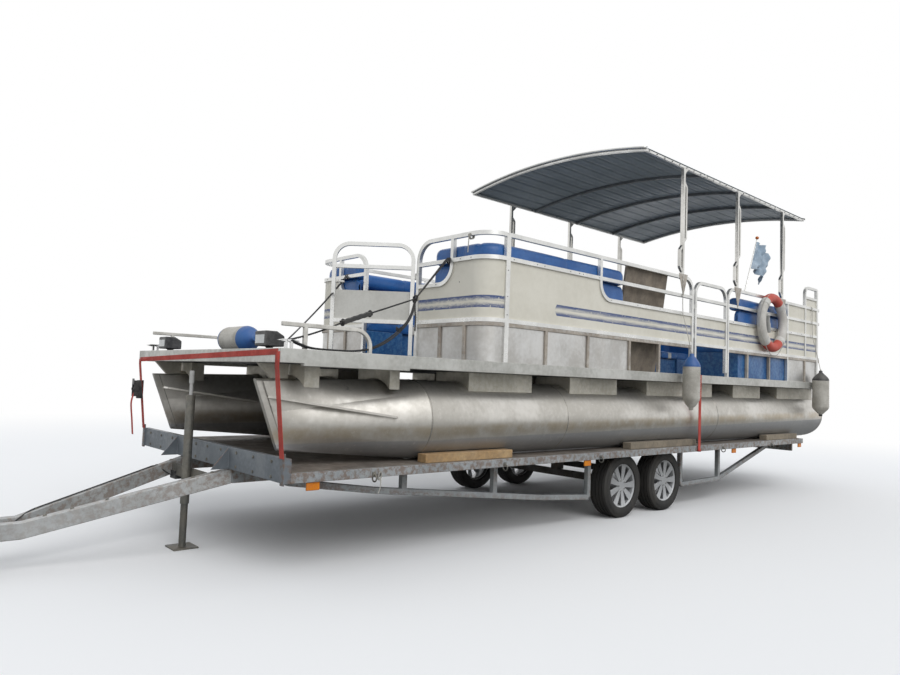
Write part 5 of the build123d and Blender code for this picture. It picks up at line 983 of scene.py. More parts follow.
def fence_fittings():
    bm = bmesh.new()
    face = FENCE_X + TUBE / 2
    for side in (1, -1):
        out = (side, 0, 0)
        add_screws(bm, [spot(side * face, along, 0.79) for along in FENCE_SCREW_YS[:7]], out, 0.0045)
        add_screws(bm, [spot(side * face, along, 0.61) for along in FENCE_SCREW_YS[7:]], out, 0.0045)
        add_screws(bm, [spot(side * face, 5.5 + index * 0.31, 0.61) for index in range(8)], out, 0.0045)
        add_screws(bm, [spot(side * face, 1.87, height) for height in (0.7, 0.5, 0.36)], out, 0.0045)
        for x in (0.5, 0.62, 0.9):
            add_screws(bm, [spot(side * x, 1.67 - TUBE / 2, 0.61)], (0, -1, 0), 0.0045)
        for x in (0.9, 1.02):
            add_screws(bm, [spot(side * x, 1.67 - TUBE / 2, 0.79)], (0, -1, 0), 0.0045)
    finished(bm, "fence_screws", "boat_and_trailer", "black plastic", angle=60)
    bm = bmesh.new()
    for height in (0.375, 0.52):
        for index in range(4):
            turn = BOW_GATE_TURN
            along = Vector((math.cos(turn), math.sin(turn), 0))
            out = Vector((along.y, -along.x, 0))
            place = spot(0.345, 1.67, height) + along * (0.09 + index * 0.175) + out * 0.0035
            add_screws(bm, [place], out, 0.0045)
    finished(bm, "gate_screws", "bow_gate", "black plastic", angle=60)


BOW_GATE_TURN = math.radians(180 + 48)


def gate_latch():
    """A slide bolt on the free edge of the bow gate."""
    along = Vector((math.cos(BOW_GATE_TURN), math.sin(BOW_GATE_TURN), 0))
    bm = bmesh.new()
    out = Vector((along.y, -along.x, 0))
    foot = spot(0.345, 1.67, 0.64) + along * 0.6 + out * 0.014
    add_rod(bm, foot, foot + along * 0.075, 0.009, None, 16)
    for at in (0.012, 0.05):
        add_rod(bm, foot + along * at, foot + along * (at + 0.012), 0.0125, None, 16)
    add_rod(bm, foot + along * 0.035, foot + along * 0.035 + out * 0.028, 0.004, None, 12)
    add_ball(bm, foot + along * 0.035 + out * 0.03, 0.008, sides=12)
    finished(bm, "gate_latch", "bow_gate", "post tube", angle=40, bevel=0.001)


# Canopy posts: bright tubes with three-cornered plates
def canopy_posts():
    bm = copied("canopy_posts")
    for face in bm.faces:
        place = face.calc_center_median()
        plate = DECK + 0.79 < place.z < DECK + 0.975 and abs(place.x) > FENCE_X + TUBE / 2 + 0.0005
        face.material_index = 1 if plate else 0
    piece = finished(bm, "canopy_posts_finished", "boat_and_trailer", "post tube", "beige channel", bevel=0.003)
    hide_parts("canopy_posts")


# Life ring with its bands and grab line


def life_ring():
    bm = bmesh.new()
    profile = [
        (RING_R - RING_TUBE * 1.05 + RING_TUBE * 1.05 * math.cos(math.tau * i / 20),
         RING_TUBE * 0.98 * math.sin(math.tau * i / 20))
        for i in range(20)
    ]
    add_lathed(bm, profile, RING_CENTRE, (1, 0, 0), 96, closed=True)
    piece = finished(bm, "life_ring_shell", "boat_and_trailer", "ring shell", angle=60)
    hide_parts("life_ring")
    bm = bmesh.new()
    for quarter in range(4):
        turn = math.radians(45 + 90 * quarter)
        out = Vector((0, math.cos(turn), math.sin(turn)))
        centre = RING_CENTRE + out * (RING_R - RING_TUBE * 1.05)
        around = Vector((0, -math.sin(turn), math.cos(turn)))
        band = [(RING_TUBE * 1.07, -0.026), (RING_TUBE * 1.1, 0.0), (RING_TUBE * 1.07, 0.026),
                (RING_TUBE * 1.02, 0.026), (RING_TUBE * 1.02, -0.026)]
        add_lathed(bm, band, centre, around, 36, closed=True)
    finished(bm, "life_ring_bands", "boat_and_trailer", "ring band", angle=50)
    bm = bmesh.new()
    count = 4
    for quarter in range(count):
        points = []
        for index in range(9):
            turn = math.radians(45 + 90 * quarter + 90 * index / 8)
            sag = 1 + 0.05 * math.sin(math.pi * index / 8)
            droop = 0.03 * math.sin(math.pi * index / 8)
            points.append(RING_CENTRE + Vector((0.02, 0, 0)) + Vector(
                (0, math.cos(turn), math.sin(turn))) * (RING_R * sag + 0.002) - Vector((0, 0, droop)))
        add_rope(bm, smooth_line(points, 5), 0.0042, 0.02, 5)
    finished(bm, "life_ring_line", "boat_and_trailer", "white rope", angle=60)


# Fenders on their lines
FENDERS = (
    # name, side, y, low z above the deck, radius, whole length, end finish
    ("port_front", 1, 4.405, -0.355, 0.085, 0.556, "fender blue"),
    ("port_rear", 1, 7.695, -0.435, 0.1, 0.59, "fender black"),
    ("starboard_front", -1, 4.405, -0.355, 0.085, 0.556, "fender blue"),
    ("starboard_rear", -1, 7.695, -0.435, 0.1, 0.59, "fender black"),
)
FENDER_X = 1.325


def fender_body(bm, foot, way, radius, length):
    """An inflated fender: a ribbed barrel with a stepped cone and an eye at each end."""
    ends = [
        (0.0, 0.0), (0.018, 0.0), (0.022, 0.005), (0.022, 0.024), (0.036, 0.036), (0.05, 0.052),
        (radius * 0.78, 0.08), (radius * 0.95, 0.105), (radius, 0.13),
    ]
    ribs = []
    count = 26
    for index in range(1, count):
        along = 0.13 + (length - 0.26) * index / count
        ribs.append((radius - (0.0025 if index % 2 else 0.0), along))
    profile = ends + ribs + [(r, length - along) for r, along in reversed(ends)]
    return add_lathed(bm, profile, foot, way, 40)


def fenders():
    lines = bmesh.new()
    for name, side, along, low, radius, length, ends in FENDERS:
        bm = bmesh.new()
        foot = spot(side * FENDER_X, along, low)
        fender_body(bm, foot, (0, 0, 1), radius, length)
        for face in bm.faces:
            place = face.calc_center_median().z - foot.z
            face.material_index = 1 if place > length - 0.125 or ("rear" in name and place < 0.03) else 0
        finished(bm, f"fender_{name}", "boat_and_trailer", "fender skin", ends, angle=50)
        top = foot + Vector((0, 0, length - 0.006))
        rail = spot(side * 1.2165, along, 0.62)
        hook = spot(side * 1.2165, along, 0.975)
        middle = top.lerp(rail, 0.5) + Vector((side * 0.004, 0.006, -0.008))
        add_rope(lines, smooth_line([top, middle, rail.lerp(middle, 0.3), rail, hook], 10), 0.0042, 0.022, 5)
        eye = [(0.022 + 0.0045 * math.cos(math.tau * i / 8), 0.0045 * math.sin(math.tau * i / 8)) for i in range(8)]
        add_lathed(lines, eye, spot(side * FENCE_X, along, 0.975), (0, 1, 0), 24, closed=True)
        add_ball(lines, hook - Vector((0, 0, 0.03)), 0.0095, (1, 1, 1.3), 12)
        add_ball(lines, top + Vector((0, 0, 0.012)), 0.0105, (1, 1, 1.2), 12)
    bm = bmesh.new()
    start = spot(-0.335, 0.33, 0.0955)
    fender_body(bm, start, (1, 0, 0), 0.095, 0.55)
    for face in bm.faces:
        place = face.calc_center_median().x - start.x
        face.material_index = 1 if place < 0.12 or place > 0.43 else 0
    piece = finished(bm, "fender_spare", "boat_and_trailer", "fender skin", "fender blue", angle=50)
    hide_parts("fenders")
    finished(lines, "fender_lines", "boat_and_trailer", "white rope", angle=60)


# Mooring ropes at the bow: two taut lines, a rubber snubber and a slack loop
ROPE = 0.0065


def mooring_ropes():
    bm = bmesh.new()
    knot = spot(0.93, 1.2, 0.427)
    rail = spot(0.767, 1.65, 0.79)
    cleat = spot(1.118, 0.105, 0.055)
    for shift in (-0.011, 0.011):
        add_rope(bm, [rail + Vector((shift, 0.0, 0.02)), rail + Vector((shift, -0.03, -0.01)), knot], ROPE)
    snub_end = knot.lerp(cleat, 0.4)
    snub_start = knot.lerp(cleat, 0.63)
    add_rope(bm, [knot, snub_end], ROPE)
    sag = snub_start.lerp(cleat, 0.5) - Vector((0, 0, 0.02))
    add_rope(bm, smooth_line([snub_start, sag, cleat], 10), ROPE)
    for shift in (-0.014, 0.014):
        loop = [(0.767 + shift, 1.65), (0.767 + shift, 1.632), (0.767 + shift, 1.672)]
        ring = [
            spot(0.767 + shift, 1.67 + 0.024 * math.cos(turn), 0.79 + 0.024 * math.sin(turn))
            for turn in (math.tau * i / 12 for i in range(13))
        ]
        add_rope(bm, ring, ROPE, 0.04)
    for turn in range(3):
        centre = knot + Vector((0, 0.0, 0.012 * (turn - 1)))
        ring = [
            centre + Vector((0.017 * math.cos(a), 0.012 * math.sin(a), 0.01 * math.sin(a + turn)))
            for a in (math.tau * i / 12 for i in range(13))
        ]
        add_rope(bm, ring, ROPE * 1.1, 0.04)
    tail = [knot, knot + Vector((0.004, -0.004, -0.06)), knot + Vector((0.012, 0.002, -0.15)), knot + Vector((0.006, 0.004, -0.235))]
    add_rope(bm, smooth_line(tail, 8), ROPE * 0.9)
    finished(bm, "mooring_rope_port", "boat_and_trailer", "black rope", angle=60)
    bm = bmesh.new()
    for shift, start, end in (
        (0.0, spot(-0.672, 1.65, 0.79), spot(1.105, 0.1, 0.055)),
        (0.03, spot(-0.7, 1.65, 0.79), spot(1.14, 0.08, 0.05)),
    ):
        sag = start.lerp(end, 0.5) - Vector((0, 0, 0.035))
        add_rope(bm, smooth_line([start, sag, end], 24), 0.0045, 0.03, 5)
        ring = [
            start + Vector((0, 0.02 + 0.022 * math.cos(a), 0.022 * math.sin(a)))
            for a in (math.tau * i / 12 for i in range(13))
        ]
        add_rope(bm, ring, 0.0045, 0.03, 5)
    finished(bm, "mooring_lines_across", "boat_and_trailer", "black rope", angle=60)
    snubber(snub_end, snub_start)
    slack_rope(knot)


def snubber(start, end):
    """A rubber stretcher with four windows, the rope led through it."""
    bm = bmesh.new()
    length = (end - start).length
    add_block(bm, (-0.022, -0.014, 0), (0.022, 0.014, length))
    bmesh.ops.subdivide_edges(
        bm, edges=[edge for edge in bm.edges if abs(edge.verts[0].co.z - edge.verts[1].co.z) > 0.01], cuts=8,
        use_grid_fill=True,
    )
    windows = [
        face for face in bm.faces
        if abs(face.normal.y) > 0.9 and round(face.calc_center_median().z / length * 9 - 0.5) % 2 == 1
    ]
    made = bmesh.ops.inset_individual(bm, faces=windows, thickness=0.006, depth=0)
    bmesh.ops.translate(bm, verts=list({v for f in windows if f.normal.y > 0 for v in f.verts}), vec=(0, -0.009, 0))
    bmesh.ops.translate(bm, verts=list({v for f in windows if f.normal.y < 0 for v in f.verts}), vec=(0, 0.009, 0))
    bend_along(bm.verts, [start, end], up=(0, 0, 1))
    finished(bm, "rope_snubber", "boat_and_trailer", "snubber rubber", angle=40, bevel=0.004)
    bm = bmesh.new()
    for at in (0.03, 0.97):
        ring = [start.lerp(end, at) + Vector((0.02 * math.cos(a), 0, 0.02 * math.sin(a)))
                for a in (math.tau * i / 12 for i in range(13))]
        add_rope(bm, ring, ROPE, 0.04)
    finished(bm, "snubber_turns", "boat_and_trailer", "black rope", angle=60)


SLACK = (
    (0.93, 1.2, 0.42), (0.95, 1.17, 0.34), (0.985, 1.1, 0.25), (1.02, 1.0, 0.175), (1.05, 0.9, 0.115),
    (1.075, 0.8, 0.065), (1.09, 0.7, 0.03), (1.105, 0.58, 0.012), (1.118, 0.46, 0.009), (1.12, 0.34, 0.009),
    (1.128, 0.23, 0.012), (1.13, 0.15, 0.035), (1.13, 0.105, 0.052),
)


def slack_rope(knot):
    """The slack double rope, hung from the knot and laid along the deck to the cleat."""
    for number, shift in enumerate((-0.012, 0.014)):
        points = [spot(x + shift * min(1, 3 * (1.2 - y) + 0.1), y + shift * 0.3, z) for x, y, z in SLACK]
        line = smooth_line(points, 10)
        bm = bmesh.new()
        add_rope(bm, line, ROPE)
        piece = finished(bm, f"slack_rope_{number + 1}", "boat_and_trailer", "black rope", angle=60)
    bm = bmesh.new()
    for turn in range(2):
        centre = spot(1.01, 1.0, 0.185 + 0.012 * turn)
        ring = [centre + Vector((0.022 * math.cos(a), 0.012 * math.sin(a), 0.006 * math.sin(2 * a)))
                for a in (math.tau * i / 12 for i in range(13))]
        add_rope(bm, ring, ROPE, 0.04)
    finished(bm, "slack_rope_hitch", "boat_and_trailer", "black rope", angle=60)


# Tyres with ribs, grooves and shoulder lugs
def wheel_axis(node):
    low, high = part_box(node)
    return (low + high) / 2, (high.x - low.x) / 2, (high.z - low.z) / 2


def tyres_and_covers():
    for side, sign in (("port", 1), ("starboard", -1)):
        for end in ("front", "rear"):
            centre, half, radius = wheel_axis(f"tyre_{side}_{end}")
            body = BODY_OF[f"tyre_{side}_{end}"]
            bm = bmesh.new()
            tread = radius - 0.0
            profile = []
            for groove in (-0.055, -0.019, 0.019, 0.055):
                profile += [(tread, groove - 0.006), (tread - 0.008, groove - 0.004),
                            (tread - 0.008, groove + 0.004), (tread, groove + 0.006)]
            side_wall = [
                (tread - 0.006, 0.081), (tread - 0.024, 0.0915), (tread - 0.05, 0.0945), (tread - 0.072, 0.0938),
                (tread - 0.09, 0.0885), (0.203, 0.079), (0.2, 0.072), (0.2, 0.03),
            ]
            scale = half / 0.095
            line = [(r, -y * scale) for r, y in reversed(side_wall)] + [(r, y * scale) for r, y in profile]
            line += [(r, y * scale) for r, y in side_wall]
            add_lathed(bm, line, centre, (1, 0, 0), 72, closed=True)
            for index in range(72):
                turn = math.tau * (index + 0.5) / 72
                way = Vector((0, math.cos(turn), math.sin(turn)))
                for edge in (-1, 1):
                    start = centre + way * (tread - 0.007) + Vector((edge * 0.066 * scale, 0, 0))
                    finish_point = centre + way * (tread - 0.0235) + Vector((edge * 0.0895 * scale, 0, 0))
                    add_rod(bm, start, finish_point, 0.0065, 0.004, 6)
            for ring, lift in ((0.262, 0.0945), (0.226, 0.0915)):
                add_lathed(
                    bm, [(ring - 0.0018, lift * scale), (ring, lift * scale + 0.0012), (ring + 0.0018, lift * scale)],
                    centre, (sign, 0, 0), 72,
                )
            piece = finished(bm, f"tyre_{side}_{end}_treaded", body, "tyre rubber", angle=32)
            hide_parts(f"tyre_{side}_{end}")
            bm = copied(f"rim_{side}_{end}")
            for face in bm.faces:
                place = face.calc_center_median()
                apart = math.hypot(place.y - centre.y, place.z - centre.z)
                deep = sign * (centre.x - place.x) > half * 0.1 and apart < 0.19
                face.material_index = 1 if deep else 0
            rim = finished(bm, f"rim_{side}_{end}_finished", body, "wheel cover", "axle steel", bevel=0.0025)
            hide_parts(f"rim_{side}_{end}")
            low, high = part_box(f"rim_{side}_{end}")
            face_x = high.x if sign > 0 else low.x
            bm = bmesh.new()
            for index in range(5):
                turn = math.tau * (index + 0.5) / 5
                place = Vector((face_x - sign * 0.012, centre.y + 0.05 * math.cos(turn), centre.z + 0.05 * math.sin(turn)))
                add_rod(bm, place, place + Vector((sign * 0.01, 0, 0)), 0.009, 0.008, 6)
            finished(bm, f"wheel_nuts_{side}_{end}", body, "bright chrome", angle=40)


# Tie-down webbing: woven bands, and a ratchet with its tail
def straps():
    bm = copied("tie_down_straps")
    for face in bm.faces:
        inside = all(0.96 < vert.co.z < 1.14 and vert.co.x < -1.1 for vert in face.verts)
        face.material_index = 1 if inside else 0
    bmesh.ops.triangulate(bm, faces=[face for face in bm.faces if len(face.verts) > 4])
    for _ in range(2):
        long_edges = [edge for edge in bm.edges if edge.calc_length() > 0.12]
        bmesh.ops.subdivide_edges(bm, edges=long_edges, cuts=2)
    piece = finished(bm, "tie_down_webbing", "boat_and_trailer", "red webbing", "black plastic", angle=60)
    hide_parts("tie_down_straps")
    low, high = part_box("tie_down_straps")
    bm = bmesh.new()
    x, y = -1.185, BOW - 0.006
    z = 1.05
    for lean in (-1, 1):
        add_block(bm, (x + lean * 0.026 - 0.0015, y - 0.04, z - 0.06), (x + lean * 0.026 + 0.0015, y - 0.006, z + 0.07))
    add_rod(bm, (x - 0.034, y - 0.022, z), (x + 0.034, y - 0.022, z), 0.011, None, 20)
    for lean in (-1, 1):
        add_rod(bm, (x + lean * 0.03, y - 0.022, z), (x + lean * 0.033, y - 0.022, z), 0.021, None, 14)
    add_rod(bm, (x - 0.03, y - 0.034, z + 0.062), (x + 0.03, y - 0.034, z + 0.062), 0.006, None, 14)
    add_block(bm, (x - 0.022, y - 0.042, z + 0.035), (x + 0.022, y - 0.037, z + 0.085))
    finished(bm, "strap_ratchet", "boat_and_trailer", "black plastic", angle=40, bevel=0.0015)
    bm = bmesh.new()
    line = smooth_line([
        (x, y - 0.028, z - 0.03), (x + 0.004, y - 0.05, z - 0.09), (x + 0.012, y - 0.046, z - 0.17),
        (x + 0.004, y - 0.034, z - 0.24), (x + 0.016, y - 0.03, z - 0.32), (x + 0.02, y - 0.026, z - 0.37),
    ], 12)
    band_along(bm, line, 0.038, (1, 0, 0))
    finished(bm, "strap_tail", "boat_and_trailer", "red webbing", angle=60, thick=0.002)


def band_along(target, route, wide, across):
    """A flat ribbon of the given width along a route."""
    bm = bmesh.new()
    across = Vector(across).normalized()
    rows = 4
    verts = [bm.verts.new(route[0] + across * wide * (index / rows - 0.5)) for index in range(rows + 1)]
    edges = [bm.edges.new(pair) for pair in zip(verts, verts[1:])]
    for before, after in zip(route, route[1:]):
        made = bmesh.ops.extrude_edge_only(bm, edges=edges)["geom"]
        verts = [item for item in made if isinstance(item, bmesh.types.BMVert)]
        edges = [item for item in made if isinstance(item, bmesh.types.BMEdge) and all(v in verts for v in item.verts)]
        bmesh.ops.translate(bm, verts=verts, vec=after - before)
    bmesh.ops.recalc_face_normals(bm, faces=bm.faces)
    return merged_in(target, bm)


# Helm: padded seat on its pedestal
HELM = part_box("helm_seat")
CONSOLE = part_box("helm_console")


def helm():
    bm = copied("helm_seat")
    low_pad = DECK + 0.42
    inner = [face for face in bm.faces if face.calc_center_median().z > low_pad - 0.004]
    bmesh.ops.delete(bm, geom=inner, context="FACES")
    piece = finished(bm, "helm_pedestal", "boat_and_trailer", "bright chrome", bevel=0.002)
    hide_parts("helm_seat")
    x0, x1 = HELM[0].x + 0.004, HELM[1].x - 0.004
    y0, y1 = HELM[0].y + 0.004, HELM[1].y - 0.004
    crowned_pad("helm_seat_pad", (x0, y0, low_pad), (x1, y1 - 0.09, low_pad + 0.1), crown=0.02,
                       slots=("white vinyl",))
    back_top = HELM[1].z - 0.006
    crowned_pad("helm_seat_back", (x0, y1 - 0.1, low_pad + 0.105), (x1, y1, back_top), crown=0.004,
                       slots=("white vinyl",))
    welts = bmesh.new()
    add_welt(welts, (x0 + 0.006, y0 + 0.006), (x1 - 0.006, y1 - 0.096), low_pad + 0.093)
    finished(welts, "helm_seat_welt", "boat_and_trailer", "blue vinyl", angle=60)


# Flag on its staff
def flag():
    bm = bmesh.new()
    foot = spot(1.178, 5.83, 0.982)
    add_rod(bm, foot, spot(1.172, 6.15, 1.655), 0.006, 0.0045, 12)
    add_rod(bm, foot - Vector((0, 0, 0.006)), foot + Vector((0, 0.004, 0.03)), 0.012, 0.009, 14)
    finished(bm, "flag_staff", "boat_and_trailer", "post tube", angle=50)
    bm = bmesh.new()
    add_ball(bm, spot(1.172, 6.154, 1.67), 0.021, (1, 1, 0.9), 16)
    finished(bm, "flag_knob", "boat_and_trailer", "orange knob", angle=60)
    bm = bmesh.new()
    wide, high = 0.52, 0.36
    count, rows = 44, 30
    bmesh.ops.create_grid(bm, x_segments=count, y_segments=rows, size=0.5)
    top = spot(1.172, 6.13, 1.62)
    lean = Vector((0.0, -0.43, -0.9)).normalized()
    for vert in bm.verts:
        u, v = vert.co.x + 0.5, 0.5 - vert.co.y
        slack = min(1, u * 3)
        fold = 0.036 * math.sin(u * 15 + v * 3.1) * slack + 0.014 * math.sin(u * 31 - v * 7) * slack
        fold += 0.008 * math.sin(v * 23 + u * 5) * slack
        droop = 0.34 * u * u + 0.03 * math.sin(u * 9) * u
        run = 0.8 * u - 0.13 * u * u
        vert.co = top + lean * (v * high * 0.97) + Vector((0.004 + fold, run * wide * 0.86, -droop * high - 0.05 * v * u))
    bmesh.ops.recalc_face_normals(bm, faces=bm.faces)
    cloth = finished(bm, "flag_cloth", "boat_and_trailer", "flag cloth", angle=80, thick=0.0008)


# Timbers under the pontoons, the first of them new, and the jack's white grip
def timbers_and_jack():
    bm = copied("bed_timbers")
    for face in bm.faces:
        face.material_index = 0 if face.calc_center_median().y < BOW + 2.6 else 1
    piece = finished(bm, "bed_timbers_finished", "boat_and_trailer", "pine timber", "weathered timber", bevel=0.004)
    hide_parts("bed_timbers")
    bm = copied("jack_tube")
    for face in bm.faces:
        face.material_index = 1 if face.calc_center_median().z > 1.085 else 0
    piece = finished(bm, "jack_tube_finished", BODY_OF["jack_tube"], "jack steel", "grip plastic", bevel=0.002)
    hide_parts("jack_tube")


# Odd fittings of the trailer
def trailer_fittings():
    bm = bmesh.new()
    front = BOW + 0.073
    for side in (1, -1):
        for x in (0.1, 0.32, 0.56, 0.8, 1.04):
            add_bolts(bm, [(side * x, front, BED + z) for z in (-0.034, 0.056)], (0, -1, 0), 0.008)
    for side in (1, -1):
        for share in (0.1, 0.2, 0.62, 0.78, 0.9):
            y = BOW + 0.113 - 1.128 * share
            x = 0.4 - 0.31 * share
            top = BED - 0.059 - 0.288 * share
            add_bolts(bm, [(side * x, y, top)], (0, -0.247, 0.969), 0.009)
    finished(bm, "trailer_bolts", "boat_and_trailer", "jack steel", angle=40)
    bm = bmesh.new()
    add_block(bm, (-0.36, BOW - 0.005, BED - 0.214), (-0.26, BOW + 0.066, BED - 0.158))
    finished(bm, "junction_box", "boat_and_trailer", "black plastic", angle=40, bevel=0.006)
    lid = bmesh.new()
    add_block(lid, (-0.364, BOW - 0.009, BED - 0.168), (-0.256, BOW + 0.066, BED - 0.154))
    finished(lid, "junction_box_lid", "boat_and_trailer", "black plastic", angle=40, bevel=0.003)
    bm = bmesh.new()
    start = Vector((-0.31, BOW - 0.007, BED - 0.19))
    points = [start, start + Vector((0.0, -0.04, 0.02))]
    for share in (0.2, 0.26, 0.4, 0.55, 0.7, 0.85, 0.94):
        points.append(Vector((0.31 * share - 0.4, BOW + 0.113 - 1.128 * share, BED - 0.053 - 0.288 * share)))
    for x, along, drop in ((-0.03, -1.02, 0.36), (0.0, -1.09, 0.41), (0.005, -1.2, 0.43), (-0.01, -1.36, 0.4),
                           (-0.03, -1.5, 0.36)):
        points.append(Vector((x, BOW + along, BED - drop)))
    line = smooth_line(points, 12)
    add_tube(bm, line, 0.0045, 10, 0.02)
    finished(bm, "lamp_cable", "boat_and_trailer", "black plastic", angle=60)
    bm = bmesh.new()
    for side in (1, -1):
        for along in (0.7, 1.9, 3.1, 5.3, 6.5):
            centre = Vector((side * 1.211, BOW + along, BED - 0.05))
            ring = [(0.022 + 0.005 * math.cos(math.tau * i / 10), 0.005 * math.sin(math.tau * i / 10)) for i in range(10)]
            add_lathed(bm, ring, centre + Vector((side * 0.004, 0, -0.012)), (0.0, 1, 0), 24, closed=True)
            add_block(bm, centre + Vector((-0.004, -0.012, -0.004)), centre + Vector((0.004, 0.012, 0.026)))
    finished(bm, "tie_rings", "boat_and_trailer", "jack steel", angle=50)
    bm = bmesh.new()
    place = Vector((1.216, BOW + 0.74, BED - 0.05))
    for turn in range(3):
        ring = [place + Vector((0.006 * math.cos(a) + 0.004 * (turn - 1), 0.012 * math.sin(a), 0.026 * math.cos(a)))
                for a in (math.tau * i / 12 for i in range(13))]
        add_rope(bm, ring, 0.004, 0.02, 5)
    add_rope(bm, smooth_line([place, place + Vector((0.006, 0.02, -0.05)), place + Vector((0.003, -0.01, -0.11))], 8), 0.004, 0.02, 5)
    finished(bm, "rail_knot", "boat_and_trailer", "white rope", angle=60)


def lamp_faces():
    bm = bmesh.new()
    for side in (1, -1):
        add_block(bm, spot(side * 0.85 - 0.058, 0.046, 0.034), spot(side * 0.85 + 0.058, 0.052, 0.088))
    finished(bm, "docking_lamp_lenses", "boat_and_trailer", "lamp glass", angle=40, bevel=0.002)


# Light in the life ring
def ring_light():
    bm = bmesh.new()
    foot = RING_CENTRE + Vector((0.02, -0.14, -0.12))
    way = Vector((0.12, -0.4, 0.75)).normalized()
    add_lathed(
        bm, [(0.0, 0.0), (0.024, 0.0), (0.027, 0.006), (0.027, 0.1), (0.022, 0.112), (0.022, 0.2), (0.026, 0.206),
             (0.026, 0.222), (0.015, 0.234), (0.0, 0.236)],
        foot, way, 32,
    )
    finished(bm, "ring_light", "boat_and_trailer", "grip plastic", angle=40)


# A thin white rope tied round the bow fence's top rail
def rail_rope():
    bm = bmesh.new()
    place = spot(1.0, 1.67, 0.975 - TUBE / 2)
    for turn in range(3):
        ring = [place + Vector((0.009 * (turn - 1), 0.024 * math.cos(a), 0.024 * math.sin(a)))
                for a in (math.tau * i / 12 for i in range(13))]
        add_rope(bm, ring, 0.0045, 0.02, 5)
    tail = [place + Vector((0, -0.024, 0)), place + Vector((0.004, -0.032, -0.05)), place + Vector((-0.006, -0.028, -0.13))]
    add_rope(bm, smooth_line(tail, 8), 0.0045, 0.02, 5)
    finished(bm, "rail_rope", "boat_and_trailer", "white rope", angle=60)


# Dash of the helm
def dash():
    """Round gauges and a switch panel with five switches on the console."""
    low, high = CONSOLE
    centre = (low.x + high.x) / 2
    face_y = high.y
    bm = bmesh.new()
    faces = bmesh.new()
    top = high.z
    for index, x in enumerate((-0.17, 0.17)):
        place = Vector((centre + x, (low.y + high.y) / 2 + 0.0, top))
        add_lathed(bm, [(0.0, 0.0), (0.043, 0.0), (0.045, 0.004), (0.041, 0.009), (0.037, 0.009), (0.036, 0.006),
                        (0.0, 0.006)], place, (0, 0, 1), 40)
        add_lathed(faces, [(0.0, 0.0064), (0.0355, 0.0064)], place, (0, 0, 1), 40)
    add_block(bm, (centre - 0.08, (low.y + high.y) / 2 - 0.03, top - 0.001),
              (centre + 0.08, (low.y + high.y) / 2 + 0.03, top + 0.004))
    for index in range(5):
        x = centre - 0.06 + index * 0.03
        add_rod(bm, (x, (low.y + high.y) / 2, top + 0.003), (x, (low.y + high.y) / 2 + 0.008, top + 0.022), 0.0042, 0.0036, 12)
    finished(bm, "dash_fittings", "boat_and_trailer", "black plastic", angle=40, bevel=0.0008)
    finished(faces, "gauge_faces", "boat_and_trailer", "lamp glass", angle=40, thick=0.0004)


for build in (
    lounges, base_fittings, roof_sheet, roof_strips, roof_frame, weld_seams, fence_fittings, gate_latch, canopy_posts,
    life_ring, fenders, mooring_ropes, tyres_and_covers, straps, helm, timbers_and_jack, flag, trailer_fittings, lamp_faces, ring_light,
    rail_rope, dash,
):
    build()


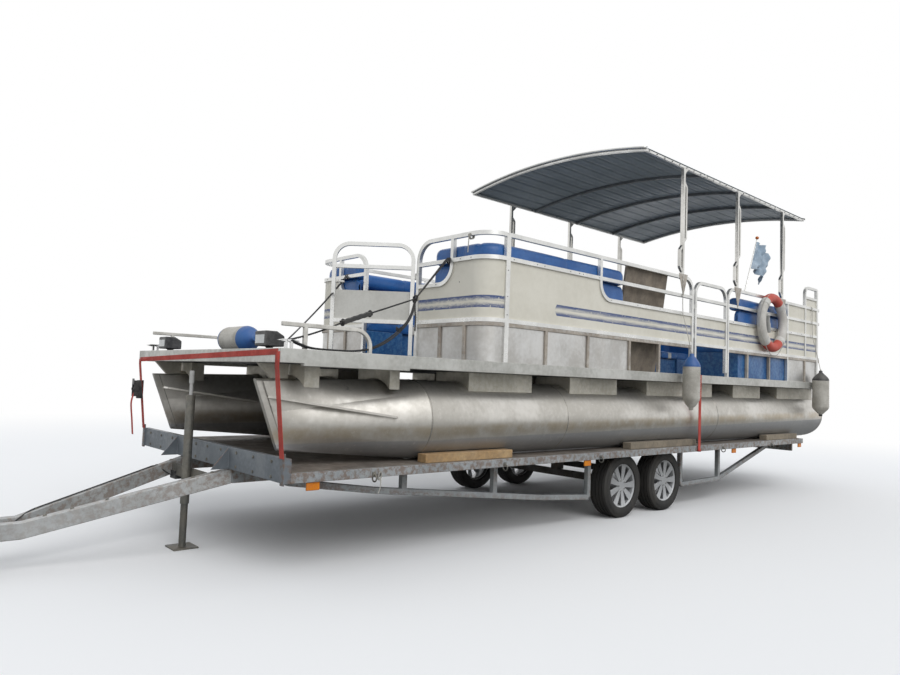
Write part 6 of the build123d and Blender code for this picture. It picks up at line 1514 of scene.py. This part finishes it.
# Floor, backdrop, light and camera
def stage():
    bm = bmesh.new()
    bmesh.ops.create_grid(bm, x_segments=1, y_segments=1, size=60)
    mesh = bpy.data.meshes.new("floor")
    bm.to_mesh(mesh)
    bm.free()
    floor = bpy.data.objects.new("floor", mesh)
    bpy.context.scene.collection.objects.link(floor)
    pale = bpy.data.materials.new("pale floor")
    pale.use_nodes = True
    tree = pale.node_tree
    shader = tree.nodes["Principled BSDF"]
    path = add_node(tree, "LightPath")
    tone = blended(tree, path.outputs["Is Camera Ray"], rgb((0.32, 0.32, 0.31)), rgb((0.93, 0.93, 0.93)))
    tree.links.new(tone, shader.inputs["Base Color"])
    shader.inputs["Roughness"].default_value = 0.9
    shader.inputs["Specular IOR Level"].default_value = 0.1
    white = add_node(tree, "Emission", {"Color": rgb((1, 1, 1)), "Strength": 1.0})
    seen = sums(tree, "MAXIMUM", path.outputs["Is Camera Ray"], path.outputs["Is Glossy Ray"])
    distance = add_node(tree, "VectorMath", {0: object_place(tree)}, operation="LENGTH").outputs["Value"]
    far = sums(tree, "MULTIPLY", ramp(tree, distance, 7.0, 16.0), seen)
    mixed = add_node(tree, "MixShader", {0: far, 1: shader.outputs[0], 2: white.outputs[0]})
    tree.links.new(mixed.outputs[0], tree.nodes["Material Output"].inputs["Surface"])
    mesh.materials.append(pale)
    world = bpy.data.worlds.new("studio")
    bpy.context.scene.world = world
    world.use_nodes = True
    tree = world.node_tree
    light = tree.nodes["Background"]
    light.inputs["Color"].default_value = rgb((0.93, 0.96, 1.0))
    light.inputs["Strength"].default_value = 0.72
    backdrop = add_node(tree, "Background", {"Color": rgb((1, 1, 1)), "Strength": 1.0})
    path = add_node(tree, "LightPath")
    seen = sums(tree, "MAXIMUM", path.outputs["Is Camera Ray"], path.outputs["Is Transmission Ray"])
    seen = sums(tree, "MAXIMUM", seen, path.outputs["Is Glossy Ray"])
    mixed = add_node(tree, "MixShader", {0: seen, 1: light.outputs[0], 2: backdrop.outputs[0]})
    tree.links.new(mixed.outputs[0], tree.nodes["World Output"].inputs["Surface"])
    sun = bpy.data.lights.new("soft key", "SUN")
    sun.energy = 1.3
    sun.angle = math.radians(50)
    key = bpy.data.objects.new("soft key", sun)
    bpy.context.scene.collection.objects.link(key)
    key.rotation_euler = (math.radians(48), math.radians(14), math.radians(62))
    lens = bpy.data.cameras.new("camera")
    lens.sensor_width = 36.0
    lens.lens = 27.58
    lens.clip_end = 200
    camera = bpy.data.objects.new("camera", lens)
    bpy.context.scene.collection.objects.link(camera)
    right = Vector((0.66702, 0.74410, 0.03736))
    up = Vector((0.02141, -0.06928, 0.99737))
    back = Vector((0.74473, -0.66447, -0.06214))
    turn = Matrix((right, up, back)).transposed()
    camera.matrix_world = Matrix.Translation((4.8066, BOW - 1.9082, BED + 0.5734)) @ turn.to_4x4()
    bpy.context.scene.camera = camera
    bpy.context.scene.view_settings.view_transform = "Standard"


stage()
